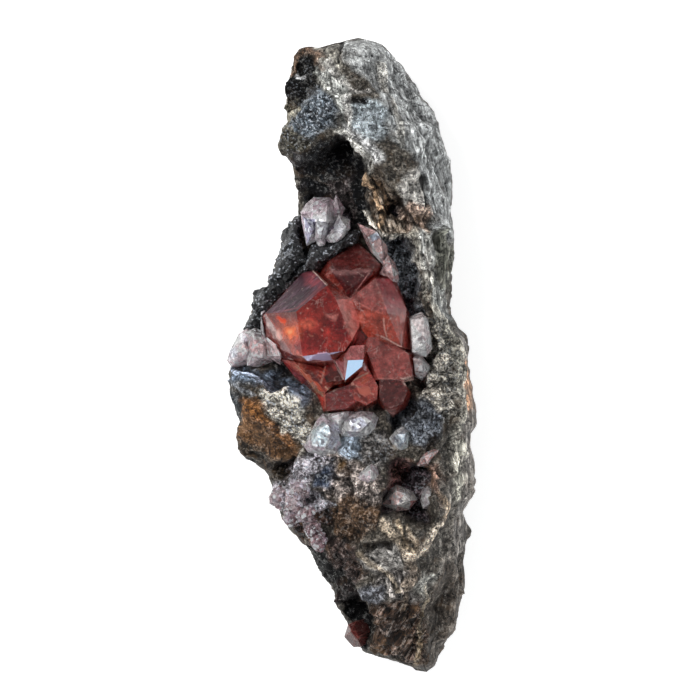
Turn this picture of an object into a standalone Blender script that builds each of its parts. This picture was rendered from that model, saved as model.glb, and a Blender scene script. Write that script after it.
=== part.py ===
"""Rhodochrosite crystals grown with quartz on a broken piece of dark ore rock.

The long piece lies on its back, crystals up. X runs across it, Y along it and Z up from the
surface that it rests on. Sizes below are millimetres; the finished meshes are in metres.
"""

import math

import bmesh
import bpy
import numpy as np
from mathutils import Matrix, Vector
from mathutils.bvhtree import BVHTree

METRES = 0.001              # one millimetre, for the finished meshes
CLEARANCE = 0.3             # gap between pieces that are bedded in each other
ROOT_LEVEL = 13.0           # how deep the red crystals are rooted in the rock
SEAM_ANGLE = math.radians(28)
WELD = 0.002                # points closer than this are one
SAME_PLANE = math.radians(0.5)
SAME_FACE = math.radians(1.0)   # faces of a crystal tilted by less than this are one
CUT = 1e-4                  # how finely a cutting plane tells its sides apart
BLOCK = 90.0                # side of the cube that a crystal's bed is cut from
ROOT_SHARE = 0.8            # a crystal's root is its widest outline at this size
SKY = 100.0                 # above everything
NAME = "rhodochrosite_cluster"

# Low and high end of the rock, where all its guide lines meet: across, along, up.
LOW_END = (12.9, -54.7, 8.0)
HIGH_END = (1.0, 54.5, 14.0)

# The rock is a skin over ten long guide lines. Each is a row of (along, across, up).
LEFT_SIDE = [
    (-53.6, 10.5, 7.0), (-51.6, 3.9, 7.0), (-49.6, 1.0, 8.0), (-45.5, -0.9, 9.0),
    (-41.4, -2.6, 9.5), (-37.3, -5.5, 10.0), (-33.2, -7.5, 10.0), (-29.2, -10.2, 10.0),
    (-25.1, -12.8, 10.5), (-21.0, -14.0, 11.0), (-16.9, -17.0, 11.0), (-12.8, -18.9, 11.0),
    (-8.8, -20.0, 11.0), (-4.7, -20.6, 11.0), (-0.6, -19.8, 10.5), (3.5, -17.3, 10.0),
    (7.6, -15.8, 10.0), (11.6, -14.2, 10.0), (15.7, -12.1, 11.0), (19.8, -10.5, 12.0),
    (23.9, -9.4, 12.0), (28.0, -9.1, 12.0), (32.0, -9.9, 13.0), (36.1, -11.4, 13.0),
    (40.2, -10.4, 13.0), (44.3, -10.4, 13.0), (48.4, -10.2, 13.0), (50.6, -9.4, 12.5),
    (52.3, -7.8, 12.5), (53.0, -5.2, 12.5), (53.8, -2.0, 13.0),
]
RIGHT_SIDE = [
    (-53.6, 14.2, 7.5), (-51.6, 15.1, 7.5), (-49.6, 15.8, 8.0), (-47.5, 17.3, 8.0),
    (-43.4, 18.6, 8.0), (-37.3, 19.5, 8.5), (-31.2, 20.1, 8.5), (-27.1, 19.4, 8.5),
    (-23.0, 20.5, 9.0), (-19.0, 21.1, 9.0), (-14.9, 20.6, 9.0), (-10.8, 20.8, 9.5),
    (-6.7, 20.6, 10.0), (-2.6, 20.1, 10.0), (1.4, 20.1, 10.0), (5.5, 18.0, 10.5),
    (7.6, 17.2, 11.0), (11.6, 17.1, 11.0), (17.8, 17.6, 11.0), (23.9, 17.0, 11.0),
    (30.0, 16.7, 11.0), (36.1, 15.6, 10.5), (40.2, 14.3, 10.5), (44.3, 12.2, 10.5),
    (48.4, 9.9, 10.5), (50.6, 7.8, 11.0), (52.4, 6.2, 12.0),
    (53.4, 5.2, 12.5), (54.0, 3.4, 13.0),
]
LEFT_RIM = [
    (-52.0, 6.6, 11.0), (-49.0, 3.6, 13.5), (-45.0, 1.6, 16.0), (-41.0, -0.5, 17.0),
    (-37.0, -3.3, 18.0), (-33.0, -5.3, 18.5), (-29.0, -8.0, 18.5), (-25.0, -10.2, 18.0),
    (-21.0, -9.8, 20.5), (-16.9, -9.6, 22.4), (-12.8, -13.0, 22.2), (-8.8, -17.2, 20.6),
    (-4.7, -18.8, 18.0), (-0.6, -18.4, 14.0), (3.5, -16.0, 12.5), (7.6, -14.4, 12.5),
    (11.6, -12.8, 12.8), (16.0, -10.8, 13.8), (20.0, -9.2, 15.0), (24.0, -8.2, 16.0),
    (28.0, -8.0, 16.5), (32.0, -8.7, 18.0), (36.1, -9.9, 19.5), (40.0, -8.9, 20.0),
    (44.0, -8.9, 19.8), (48.4, -8.8, 18.5), (52.0, -5.4, 16.5),
]
FRONT_LEFT = [
    (-52.0, 9.4, 13.0), (-49.0, 7.0, 16.5), (-45.0, 4.8, 18.5), (-41.0, 3.0, 20.0),
    (-37.0, 1.5, 21.5), (-33.0, 0.0, 22.3), (-29.0, -2.6, 22.3), (-25.0, -4.2, 22.8),
    (-21.0, -4.0, 23.2), (-16.9, -5.2, 23.5), (-12.8, -7.0, 23.4), (-8.8, -9.4, 21.8),
    (-4.7, -11.0, 17.5), (-0.6, -11.0, 16.0), (3.5, -10.0, 15.0), (7.6, -9.0, 15.0),
    (12.0, -7.0, 15.5), (16.0, -5.2, 17.0), (20.0, -4.2, 18.0), (24.0, -5.0, 17.5),
    (28.0, -5.0, 18.0), (32.0, -5.4, 21.5), (36.0, -5.6, 24.0), (40.0, -4.5, 25.0),
    (44.0, -4.5, 24.8), (48.0, -5.4, 23.6), (52.0, -3.2, 20.5),
]
CREST = [
    (-52.0, 11.1, 14.6), (-49.0, 9.6, 18.8), (-45.0, 7.5, 21.3), (-41.0, 6.3, 23.0),
    (-37.0, 5.5, 24.3), (-33.0, 4.5, 25.0), (-29.0, 3.2, 25.2), (-25.0, 2.5, 25.2),
    (-21.0, 2.5, 25.0), (-16.9, 3.0, 24.5), (-12.8, 3.0, 23.3), (-8.8, 2.5, 20.5),
    (-4.7, 2.0, 18.0), (-0.6, 1.5, 17.0), (3.5, 1.5, 16.5), (7.6, 1.5, 16.5),
    (12.0, 2.0, 17.0), (16.0, 3.0, 19.0), (20.0, 4.0, 21.5), (24.0, 4.5, 24.5),
    (28.0, 3.8, 26.5), (32.0, 2.8, 28.3), (36.0, 1.8, 29.0), (40.0, 0.6, 28.6),
    (44.0, -0.4, 28.2), (48.0, -0.5, 27.3), (52.0, 0.5, 23.4),
]
FRONT_RIGHT = [
    (-52.0, 12.1, 14.4), (-49.0, 11.3, 19.0), (-45.0, 9.8, 22.0), (-41.0, 8.8, 23.5),
    (-37.0, 8.3, 25.0), (-33.0, 8.0, 26.0), (-29.0, 8.6, 26.0), (-25.0, 9.0, 25.0),
    (-21.0, 9.0, 24.5), (-16.9, 9.5, 24.7), (-12.8, 10.0, 24.2), (-8.8, 11.0, 23.0),
    (-4.7, 12.0, 22.0), (-0.6, 12.4, 21.5), (3.5, 11.6, 21.0), (7.6, 10.8, 20.5),
    (12.0, 10.5, 21.0), (16.0, 10.0, 22.5), (20.0, 9.6, 25.5), (24.0, 9.2, 27.4),
    (28.0, 9.0, 28.0), (32.0, 8.8, 28.2), (36.0, 8.0, 28.2), (40.0, 6.5, 27.8),
    (44.0, 5.0, 27.4), (48.0, 4.4, 26.0), (52.0, 3.5, 22.0),
]
RIDGE = [
    (-53.5, 12.9, 12.0), (-48.4, 12.6, 18.3), (-41.6, 10.9, 22.0), (-34.8, 10.9, 24.0),
    (-28.0, 12.9, 24.5), (-24.6, 14.1, 25.0), (-16.1, 15.0, 24.2), (-12.7, 15.8, 23.5),
    (-7.6, 16.2, 24.0), (-2.5, 15.8, 24.0), (4.3, 15.0, 24.0), (9.4, 13.8, 25.0),
    (17.9, 14.4, 25.0), (26.4, 13.6, 24.0), (34.9, 12.4, 23.4), (43.4, 9.0, 23.0),
    (52.3, 5.2, 18.0),
]
FOOT_INSET_LEFT = 5.5       # how far the underside is tucked in from the left side
FOOT_INSET_RIGHT = 4.5      # and from the right side
FOOT_DEPTH = -2.4           # the underside is modelled this low, then cut off flat at 0
FOOT_TAPER = 44.0           # beyond this distance from the middle the underside rises
FOOT_RISE = 0.75            # millimetres up for each millimetre along, past that

ROWS = 58                   # stations along the rock
END_CROWDING = 0.6          # how much closer together the stations are near the two ends
SPANS = (2, 3, 6, 7, 7, 6, 4, 3, 2, 2)   # strips of the skin between neighbouring guides
LIP = 2.0                   # width of the slope at the edge of a hollow or a lump
FACING_UP = 0.1             # hollows and lumps begin where the skin's normal rises this much
FACING_BLEND = 0.35         # and are whole this much further up
NEARLY_FLAT = math.radians(2.5)

# Broken faces all over the rock: height of the relief, size of the faces, number of the draw.
LARGE_FACES = (1.9, 8.0, 11)
SMALL_FACES = (0.9, 4.5, 29)
WAVES = (0.6, 9.0, 5)
SMOOTH_BELOW = 1.0          # the rock is smooth up to this height
ROUGHENS_OVER = 5.0         # and fully rough this much higher
END_REACH = 4.0             # the relief dies out this close to its two ends
UPRIGHT_SHARE = 0.3         # share of the relief where the skin stands upright
UPRIGHT = 0.45              # skin counts as upright while its normal rises less than this

# Hollows sunk to a level: outline (across, along) and level of the floor.
HOLLOWS = {
    "shoulder hollow": ([(-9.4, 48.5), (-8.3, 50.7), (-6.6, 50.9), (-4.1, 48.2), (-4.3, 45.1),
                         (-6.5, 44.8), (-7.8, 42.8), (-9.6, 42.0), (-10.6, 44.1),
                         (-10.6, 47.2)], 15.5),
    "black cavity": ([(-3.1, 36.6), (-1.2, 36.5), (0.9, 34.9), (2.4, 32.7), (3.2, 29.8),
                      (3.6, 25.6), (3.1, 22.4), (0.7, 21.5), (-2.9, 21.5), (-8.5, 24.0),
                      (-8.8, 29.8), (-9.0, 32.6), (-5.1, 33.2), (-4.1, 34.9)], 16.0),
    "brown cleft": ([(3.4, 32.7), (4.8, 32.0), (5.8, 29.5), (7.5, 27.1), (8.5, 25.6),
                     (9.2, 22.7), (11.2, 20.7), (10.2, 19.5), (7.5, 20.8), (4.4, 22.7),
                     (3.6, 25.6)], 22.0),
    "cleft core": ([(5.3, 26.3), (7.8, 26.3), (8.8, 24.4), (7.8, 22.7), (5.8, 24.1)], 18.5),
    "right pocket": ([(5.8, 21.0), (8.2, 19.6), (10.5, 17.9), (11.6, 14.5), (10.9, 11.1),
                      (11.4, 9.4), (10.2, 7.4), (7.5, 8.0), (6.5, 12.0), (5.8, 18.6)], 17.0),
    "slot": ([(6.5, -10.6), (8.8, -8.9), (10.2, -7.2), (10.9, -8.2), (9.2, -10.3),
              (7.5, -12.3)], 18.0),
    "vug": ([(6.1, -19.8), (7.3, -18.3), (9.9, -18.8), (12.4, -18.4), (13.4, -19.5),
             (13.3, -22.2), (12.6, -24.2), (12.9, -26.6), (13.3, -28.3), (11.6, -28.8),
             (8.5, -28.0), (5.4, -26.6), (4.4, -25.4), (6.1, -23.2)], 16.0),
    "foot hollow": ([(-1.2, -41.6), (1.0, -41.1), (2.4, -42.6), (3.4, -45.8), (3.7, -48.4),
                     (3.6, -50.4), (2.0, -50.2), (0.7, -49.2), (-0.3, -45.0)], 11.0),
    "block foot": ([(-13.8, -20.0), (-10.2, -17.4), (-9.0, -18.8), (-12.2, -21.6)], 16.0),
}
# Lumps raised by a height, or lowered where it is negative: outline (across, along), height.
LUMPS = {
    "sparkling lump": ([(-9.5, 40.0), (-8.0, 42.4), (-6.5, 44.8), (-3.7, 45.1), (-2.6, 43.8),
                        (-3.1, 41.4), (-4.4, 39.7), (-5.8, 37.3), (-8.8, 35.6),
                        (-11.1, 35.6), (-11.2, 37.3)], 1.6),
    "oval lump": ([(8.5, 31.5), (10.5, 32.4), (12.2, 31.2), (12.9, 28.1), (12.2, 24.7),
                   (11.2, 21.7), (9.5, 22.4), (8.5, 25.6), (8.2, 29.0)], 1.4),
    "right blocks": ([(7.8, -10.6), (10.2, -8.9), (13.3, -9.6), (15.0, -11.8),
                      (14.6, -14.4), (11.6, -15.4), (9.0, -14.4), (7.8, -12.7)], 1.6),
    "grey boss": ([(1.7, -34.1), (5.6, -32.7), (8.5, -33.4), (9.0, -36.1), (8.2, -38.2),
                   (6.1, -38.8), (3.4, -37.5)], 1.5),
    "left shelf": ([(-20.0, -2.4), (-14.5, -2.6), (-9.4, -4.6), (-6.2, -8.6), (-8.8, -9.6),
                    (-12.2, -7.4), (-19.0, -6.4)], 1.6),
    "left shoulder": ([(-9.0, 50.5), (-5.8, 53.4), (-1.8, 53.8), (-1.8, 48.8), (-3.7, 47.9),
                       (-5.8, 49.6)], -1.6),
    "flank groove": ([(13.6, 21.7), (15.8, 21.3), (16.8, 17.9), (16.8, 13.7), (16.0, 11.1),
                      (14.6, 12.8), (14.0, 17.1)], -1.8),
}


# ---------------------------------------------------------------- curves and noise

def smooth(value):
    """0 below 0, 1 above 1, an S curve between."""
    value = np.clip(value, 0.0, 1.0)
    return value * value * (3.0 - 2.0 * value)


def slopes_along(known, heights):
    """Slope at each station of a curve that never overshoots (harmonic means of the chords)."""
    step = np.diff(known)
    chord = np.diff(heights) / step
    slope = np.empty(len(known))
    slope[0], slope[-1] = chord[0], chord[-1]
    before, after = chord[:-1], chord[1:]
    same_way = before * after > 0
    safe = np.where(same_way, before + after, 1.0)
    slope[1:-1] = np.where(same_way, 2.0 * before * after / safe, 0.0)
    return slope


def follow(guide, along):
    """Across and up values of a guide line at the stations `along`, both ends included."""
    rows = [(LOW_END[1], LOW_END[0], LOW_END[2]), *guide, (HIGH_END[1], HIGH_END[0], HIGH_END[2])]
    table = np.array(rows)
    known = table[:, 0]
    spot = np.clip(np.searchsorted(known, along) - 1, 0, len(known) - 2)
    width = known[spot + 1] - known[spot]
    t = (along - known[spot]) / width
    curves = []
    for heights in (table[:, 1], table[:, 2]):
        slope = slopes_along(known, heights)
        curves.append(
            (2 * t**3 - 3 * t**2 + 1) * heights[spot]
            + (t**3 - 2 * t**2 + t) * width * slope[spot]
            + (3 * t**2 - 2 * t**3) * heights[spot + 1]
            + (t**3 - t**2) * width * slope[spot + 1]
        )
    return np.stack([curves[0], along, curves[1]], axis=-1)


def lattice_value(i, j, k, seed):
    """A repeatable value from 0 to 1 for each whole-numbered lattice point."""
    mixed = (i * 374761393 + j * 668265263 + k * 1442695041 + seed * 974634777) & 0xFFFFFFFF
    mixed = ((mixed ^ (mixed >> 13)) * 1274126177) & 0xFFFFFFFF
    return ((mixed ^ (mixed >> 16)) & 0xFFFFFFFF) / 4294967295.0


def swell(points, size, seed):
    """Soft noise from -1 to 1: lattice values blended with S curves."""
    place = points / size
    cell = np.floor(place).astype(np.int64)
    part = smooth(place - cell)
    total = np.zeros(points.shape[:-1])
    for corner in range(8):
        step = np.array([corner & 1, corner >> 1 & 1, corner >> 2 & 1])
        weight = np.prod(np.where(step == 1, part, 1.0 - part), axis=-1)
        spot = cell + step
        total += weight * lattice_value(spot[..., 0], spot[..., 1], spot[..., 2], seed)
    return 2.0 * total - 1.0


def chips(points, size, seed):
    """Broken faces, about -1 to 1: every point lies on the tilted plane of its nearest seed."""
    place = points / size
    cell = np.floor(place).astype(np.int64)
    nearest = np.full(points.shape[:-1], 1e9)
    result = np.zeros(points.shape[:-1])
    for i in (-1, 0, 1):
        for j in (-1, 0, 1):
            for k in (-1, 0, 1):
                spot = cell + np.array([i, j, k])
                jitter = [lattice_value(spot[..., 0], spot[..., 1], spot[..., 2], seed + n)
                          for n in range(7)]
                away = place - spot - np.stack(jitter[:3], axis=-1)
                distance = np.sum(away * away, axis=-1)
                tilt = 2.0 * np.stack(jitter[3:6], axis=-1) - 1.0
                plane = np.sum(away * tilt, axis=-1) + 0.8 * (jitter[6] - 0.5)
                closer = distance < nearest
                nearest = np.where(closer, distance, nearest)
                result = np.where(closer, plane, result)
    return result


def inside(points, outline):
    """Distance in from the edge of a flat outline, negative outside it."""
    corners = np.array(outline)
    across, along = points[..., 0], points[..., 1]
    nearest = np.full(across.shape, 1e9)
    within = np.zeros(across.shape, bool)
    for (x0, y0), (x1, y1) in zip(corners, np.roll(corners, -1, axis=0)):
        run_x, run_y = x1 - x0, y1 - y0
        t = ((across - x0) * run_x + (along - y0) * run_y) / (run_x**2 + run_y**2)
        t = np.clip(t, 0.0, 1.0)
        nearest = np.minimum(nearest, np.hypot(across - x0 - t * run_x, along - y0 - t * run_y))
        if run_y != 0:
            crossing = x0 + (along - y0) / run_y * run_x
            within ^= ((y0 > along) != (y1 > along)) & (across < crossing)
    return np.where(within, nearest, -nearest)


# ---------------------------------------------------------------- the rock

def evened(line):
    """A line of values with its small waves taken out (mean of nine neighbours)."""
    reach = 4
    padded = np.pad(line, reach, mode="edge")
    return np.convolve(padded, np.ones(2 * reach + 1) / (2 * reach + 1), "valid")


def skin_grid(rows, spans):
    """Grid of points on the rock's skin: rows along it, columns round it, in millimetres."""
    turn = np.linspace(0.0, math.pi, rows + 2)[1:-1]
    middle = 0.5 * (LOW_END[1] + HIGH_END[1])
    half = 0.5 * (HIGH_END[1] - LOW_END[1])
    even = np.linspace(-1.0, 1.0, rows + 2)[1:-1]
    along = middle + half * ((1.0 - END_CROWDING) * even - END_CROWDING * np.cos(turn))
    left, right = follow(LEFT_SIDE, along), follow(RIGHT_SIDE, along)
    floor = FOOT_DEPTH + FOOT_RISE * np.maximum(np.abs(along - middle) - FOOT_TAPER, 0.0)
    floor = np.minimum(floor, 0.7 * np.minimum(left[:, 2], right[:, 2]))
    left_edge, right_edge = evened(left[:, 0]), evened(right[:, 0])
    most = 0.25 * (right_edge - left_edge)
    foot_left = np.stack([left_edge + np.minimum(FOOT_INSET_LEFT, most), along, floor], -1)
    foot_right = np.stack([right_edge - np.minimum(FOOT_INSET_RIGHT, most), along, floor], -1)
    foot_middle = 0.5 * (foot_left + foot_right)
    guides = [foot_left, left, follow(LEFT_RIM, along), follow(FRONT_LEFT, along),
              follow(CREST, along), follow(FRONT_RIGHT, along), follow(RIDGE, along),
              right, foot_right, foot_middle]
    strips = []
    count = len(guides)
    for number, steps in enumerate(spans):
        before, start, end, after = [guides[(number + n) % count] for n in (-1, 0, 1, 2)]
        for t in np.arange(steps) / steps:
            strips.append(0.5 * (2.0 * start + (end - before) * t
                                 + (2.0 * before - 5.0 * start + 4.0 * end - after) * t**2
                                 + (3.0 * start - before - 3.0 * end + after) * t**3))
    return np.stack(strips, axis=1)


def grid_normals(grid):
    """Outward direction at each grid point, from its neighbours along and round."""
    round_it = np.roll(grid, -1, axis=1) - np.roll(grid, 1, axis=1)
    along_it = np.gradient(grid, axis=0)
    normal = np.cross(round_it, along_it)
    return normal / np.maximum(np.linalg.norm(normal, axis=-1, keepdims=True), 1e-9)


def shape_rock(grid):
    """Hollows, lumps and broken faces on the smooth skin."""
    upward = grid_normals(grid)[..., 2]
    facing = smooth((upward - FACING_UP) / FACING_BLEND)
    shaped = grid.copy()
    for outline, height in LUMPS.values():
        shaped[..., 2] += facing * height * smooth(0.5 + inside(grid, outline) / LIP)
    for outline, level in HOLLOWS.values():
        share = facing * smooth(0.5 + inside(grid, outline) / LIP)
        shaped[..., 2] += share * np.minimum(level - shaped[..., 2], 0.0)
    above = smooth((grid[..., 2] - SMOOTH_BELOW) / ROUGHENS_OVER)
    to_an_end = np.minimum(HIGH_END[1] - grid[..., 1], grid[..., 1] - LOW_END[1])
    within = smooth(to_an_end / END_REACH)
    lying = smooth(np.abs(upward) / UPRIGHT)
    share = above * within * (UPRIGHT_SHARE + (1.0 - UPRIGHT_SHARE) * lying)
    relief = np.zeros(grid.shape[:-1])
    for pattern, (height, size, draw) in ((chips, LARGE_FACES), (chips, SMALL_FACES),
                                          (swell, WAVES)):
        relief += height * pattern(grid, size, draw)
    return shaped + grid_normals(grid) * (relief * share)[..., None]


def build_rock():
    """The rock as one closed body, cut off flat where it rests."""
    grid = shape_rock(skin_grid(ROWS, SPANS))
    mesh = bmesh.new()
    rings = [[mesh.verts.new(point) for point in row] for row in grid]
    low, high = mesh.verts.new(LOW_END), mesh.verts.new(HIGH_END)
    columns = grid.shape[1]
    for before, after in zip(rings, rings[1:]):
        for n in range(columns):
            m = (n + 1) % columns
            mesh.faces.new((before[n], before[m], after[m], after[n]))
    for n in range(columns):
        m = (n + 1) % columns
        mesh.faces.new((low, rings[0][m], rings[0][n]))
        mesh.faces.new((high, rings[-1][n], rings[-1][m]))
    bmesh.ops.triangulate(mesh, faces=mesh.faces[:])
    bmesh.ops.dissolve_limit(mesh, angle_limit=NEARLY_FLAT, verts=mesh.verts[:],
                             edges=mesh.edges[:])
    bmesh.ops.triangulate(mesh, faces=mesh.faces[:])
    everything = mesh.verts[:] + mesh.edges[:] + mesh.faces[:]
    bmesh.ops.bisect_plane(mesh, geom=everything, dist=CUT, plane_co=(0, 0, 0),
                           plane_no=(0, 0, 1), clear_inner=True)
    rim = [edge for edge in mesh.edges if edge.is_boundary]
    bmesh.ops.edgeloop_fill(mesh, edges=rim)
    bmesh.ops.recalc_face_normals(mesh, faces=mesh.faces[:])
    return mesh_object("matrix_rock", mesh)


# ---------------------------------------------------------------- crystals

def facet(first, second, third):
    """The plane through three corners, as a function giving a corner that lies flush in it."""
    start = Vector(first)
    normal = (Vector(second) - start).cross(Vector(third) - start)

    def corner(across, along):
        drop = normal.x * (across - start.x) + normal.y * (along - start.y)
        return (across, along, start.z - drop / normal.z)

    return corner


def hull(corners):
    """Mesh of the flat-faced block whose corners are given."""
    mesh = bmesh.new()
    for corner in corners:
        mesh.verts.new(corner)
    bmesh.ops.convex_hull(mesh, input=mesh.verts[:])
    loose = [vertex for vertex in mesh.verts if not vertex.link_faces]
    bmesh.ops.delete(mesh, geom=loose, context="VERTS")
    bmesh.ops.dissolve_limit(mesh, angle_limit=SAME_FACE, verts=mesh.verts[:],
                             edges=mesh.edges[:])
    bmesh.ops.recalc_face_normals(mesh, faces=mesh.faces[:])
    return mesh


def grown(corners, clearance):
    """The same block with every face moved out, cut from a larger one face by face."""
    block = hull(corners)
    planes = [(face.calc_center_median(), face.normal.copy()) for face in block.faces]
    block.free()
    middle = sum((Vector(corner) for corner in corners), Vector()) / len(corners)
    mesh = bmesh.new()
    bmesh.ops.create_cube(mesh, size=BLOCK, matrix=Matrix.Translation(middle))
    for centre, normal in planes:
        everything = mesh.verts[:] + mesh.edges[:] + mesh.faces[:]
        bmesh.ops.bisect_plane(mesh, geom=everything, dist=0.1 * CUT,
                               plane_co=centre + normal * clearance, plane_no=normal,
                               clear_outer=True)
        rim = [edge for edge in mesh.edges if edge.is_boundary]
        if rim:
            bmesh.ops.edgeloop_fill(mesh, edges=rim)
    bmesh.ops.remove_doubles(mesh, verts=mesh.verts[:], dist=CUT)
    bmesh.ops.recalc_face_normals(mesh, faces=mesh.faces[:])
    return mesh


def gem(rim, rim_level, crown, root_level, lean=(0.0, 0.0)):
    """Corners of a stubby crystal: its widest outline, the corners on top, and its root.

    The root is the outline at ROOT_SHARE of its size, moved by `lean` towards the rock.
    """
    centre = Vector((sum(p[0] for p in rim), sum(p[1] for p in rim))) / len(rim)
    corners = [(x, y, rim_level) for x, y in rim] + list(crown)
    for x, y in rim:
        root = centre + (Vector((x, y)) - centre) * ROOT_SHARE + Vector(lean)
        corners.append((root.x, root.y, root_level))
    return corners


def grain(place, outward, radius, turn):
    """Corners of a small six-sided crystal standing square to the rock's surface."""
    stand = Matrix.Translation(place) @ outward.to_track_quat("Z", "Y").to_matrix().to_4x4()
    corners = []
    for n in range(6):
        angle = turn + n * math.pi / 3
        x, y = radius * math.cos(angle), radius * math.sin(angle)
        corners.append(stand @ Vector((x, y, CRUST_SIT)))
        corners.append(stand @ Vector((ROOT_SHARE * x, ROOT_SHARE * y, -CRUST_ROOT * radius)))
        if n % 2 == 0:
            corners.append(stand @ Vector((CRUST_TOP * x, CRUST_TOP * y,
                                           CRUST_SIT + CRUST_RISE * radius)))
    return corners


def red_crystals():
    """Corner lists of the red crystals, from the main one at the left round to the core."""
    root = ROOT_LEVEL
    # The main crystal: a broad front, a frosted slope up and left, a narrow one to the right.
    peak, brow, cheek = (-4.2, 11.8, 29.2), (-9.4, 7.4, 29.8), (0.0, 2.6, 31.4)
    front = facet(peak, brow, cheek)
    slope = facet((-6.6, 14.5, 22.5), peak, brow)
    strip = facet(front(-2.7, 9.4), cheek, (1.5, 7.2, 27.5))
    lip_left, lip_right = front(-8.3, -0.1), front(-4.4, 0.5)
    window = facet(brow, lip_left, (-12.9, 6.7, 26.0))
    lip = facet(lip_left, lip_right, (-7.5, -0.9, lip_left[2] - 1.3))
    main = [
        (-6.6, 14.5, 22.5), slope(-8.5, 14.0), slope(-14.6, 7.1), peak, brow,
        (-12.9, 6.7, 26.0), window(-11.7, 2.6), window(-9.9, 0.1), lip_left, lip_right,
        lip(-7.5, -0.9), lip(-3.1, -0.7), front(-1.2, 0.8), cheek, front(-2.7, 9.4),
        strip(-0.3, 9.6), strip(1.4, 7.4), strip(1.2, 4.8),
        (-6.8, -1.3, 26.5), (-3.3, -1.1, 28.0), (-15.3, 6.7, 19.0), (-14.6, 2.3, 20.0),
        (-11.9, -1.1, 20.0), (-7.1, -2.1, 20.0), (-1.2, -2.8, 20.0), (2.4, 2.3, 20.0),
        (2.0, 9.4, 20.0), (-5.1, 14.2, 18.5), (-13.1, 5.2, root), (-10.5, -0.4, root),
        (-2.0, -2.1, root), (1.4, 2.6, root), (1.0, 9.4, root), (-6.3, 12.8, root),
        (-11.7, 9.9, root),
    ]
    # The right crystal: three faces that meet in a point near its middle.
    tip, shoulder, corner = (6.0, 7.1, 31.8), (3.9, 13.0, 28.2), (-0.3, 9.6, 27.4)
    inner = facet(corner, shoulder, tip)
    outer = facet(shoulder, tip, (9.2, 7.9, 27.6))
    lower = facet(tip, inner(2.4, 7.9), (5.4, 3.0, 30.6))
    right = [
        corner, shoulder, tip, outer(6.6, 13.0), (9.2, 7.9, 27.6), outer(8.0, 6.7),
        inner(2.4, 7.9), lower(1.4, 7.4), lower(5.4, 3.0), lower(2.7, 3.1), lower(1.2, 4.8),
        lower(8.3, 1.4), (9.7, 7.1, 24.0), (9.9, 0.9, 24.0), (7.3, 13.3, 22.0),
        (3.6, 13.9, 22.0), (-0.9, 9.8, 22.0), (-0.3, 8.6, root), (3.9, 12.3, root),
        (6.8, 12.0, root), (9.0, 7.1, root), (8.7, 1.8, root), (2.2, 3.5, root),
    ]
    # The flat crystal below it, and the rounder one below that.
    plate = facet((2.7, 3.1, 30.0), (9.5, 0.3, 29.0), (4.4, -4.0, 30.4))
    flat = [
        plate(2.7, 3.1), plate(5.4, 3.0), plate(9.5, 0.3), plate(10.2, -3.5),
        plate(8.7, -4.0), plate(4.4, -4.0), plate(2.2, 1.4), (10.5, -4.2, 25.0),
        (10.2, 0.4, 25.0), (1.5, 1.8, 26.0), (3.4, -4.3, 26.0), (8.8, -4.5, 26.0),
        (2.4, 1.8, root), (9.0, 0.1, root), (9.7, -3.8, root), (4.1, -3.8, root),
    ]
    face = facet((4.6, -4.2, 28.4), (8.7, -4.2, 28.0), (6.5, -8.9, 25.4))
    round_one = [
        face(4.6, -4.2), face(8.7, -4.2), face(6.5, -8.9), face(9.4, -5.9), face(4.6, -6.9),
        face(8.5, -8.2), face(5.4, -8.4), (10.2, -6.5, 22.0), (9.2, -8.9, 21.0),
        (7.0, -10.6, 20.5), (4.9, -9.1, 21.0), (4.2, -6.9, 22.0), (5.1, -5.0, root),
        (9.0, -5.0, root), (9.0, -7.6, root), (6.8, -9.8, root), (5.4, -7.9, root),
    ]
    # The top crystal, a roof of two faces.
    back = facet((-3.6, 14.4, 27.0), (3.6, 14.4, 27.2), (1.0, 19.1, 20.5))
    roof = [
        back(-3.6, 14.4), back(3.6, 14.4), back(1.0, 19.1), back(4.8, 15.4), back(-3.7, 16.1),
        (-4.6, 13.5, 26.4), (3.4, 13.7, 26.9), (-0.3, 9.6, 25.0), (5.3, 14.9, 21.0),
        (4.1, 11.6, 21.0), (-5.4, 14.2, 20.0), (-4.4, 16.6, 18.0), (1.0, 19.6, 18.0),
        (-3.7, 15.7, root), (1.0, 18.6, root), (4.6, 14.9, root), (3.4, 10.3, root),
        (-4.1, 9.9, root),
    ]
    # The small crystal that stands out in front, with one bright face.
    bright = facet((-0.7, -0.8, 33.0), (1.9, -0.7, 33.0), (-1.2, -4.2, 30.2))
    upper = facet((-0.7, -0.8, 33.0), (1.9, -0.7, 33.0), (-0.2, 1.6, 31.9))
    spark = [
        bright(-0.7, -0.8), bright(1.9, -0.7), bright(-1.2, -4.2), bright(1.7, -1.8),
        upper(-0.2, 1.6), upper(2.1, 1.8), upper(-1.4, -0.2), (-2.9, -0.9, 28.5),
        (2.6, -1.4, 29.0), (2.7, 1.6, 29.0), (-1.2, -4.7, 26.0), (1.9, -2.8, 26.0),
        (-2.7, -1.8, 25.0), (-1.2, 1.8, 20.0), (2.7, 1.6, 20.0), (2.6, -2.8, 20.0),
        (-0.7, -4.5, 20.0), (-2.7, -1.8, 20.0),
    ]
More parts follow.
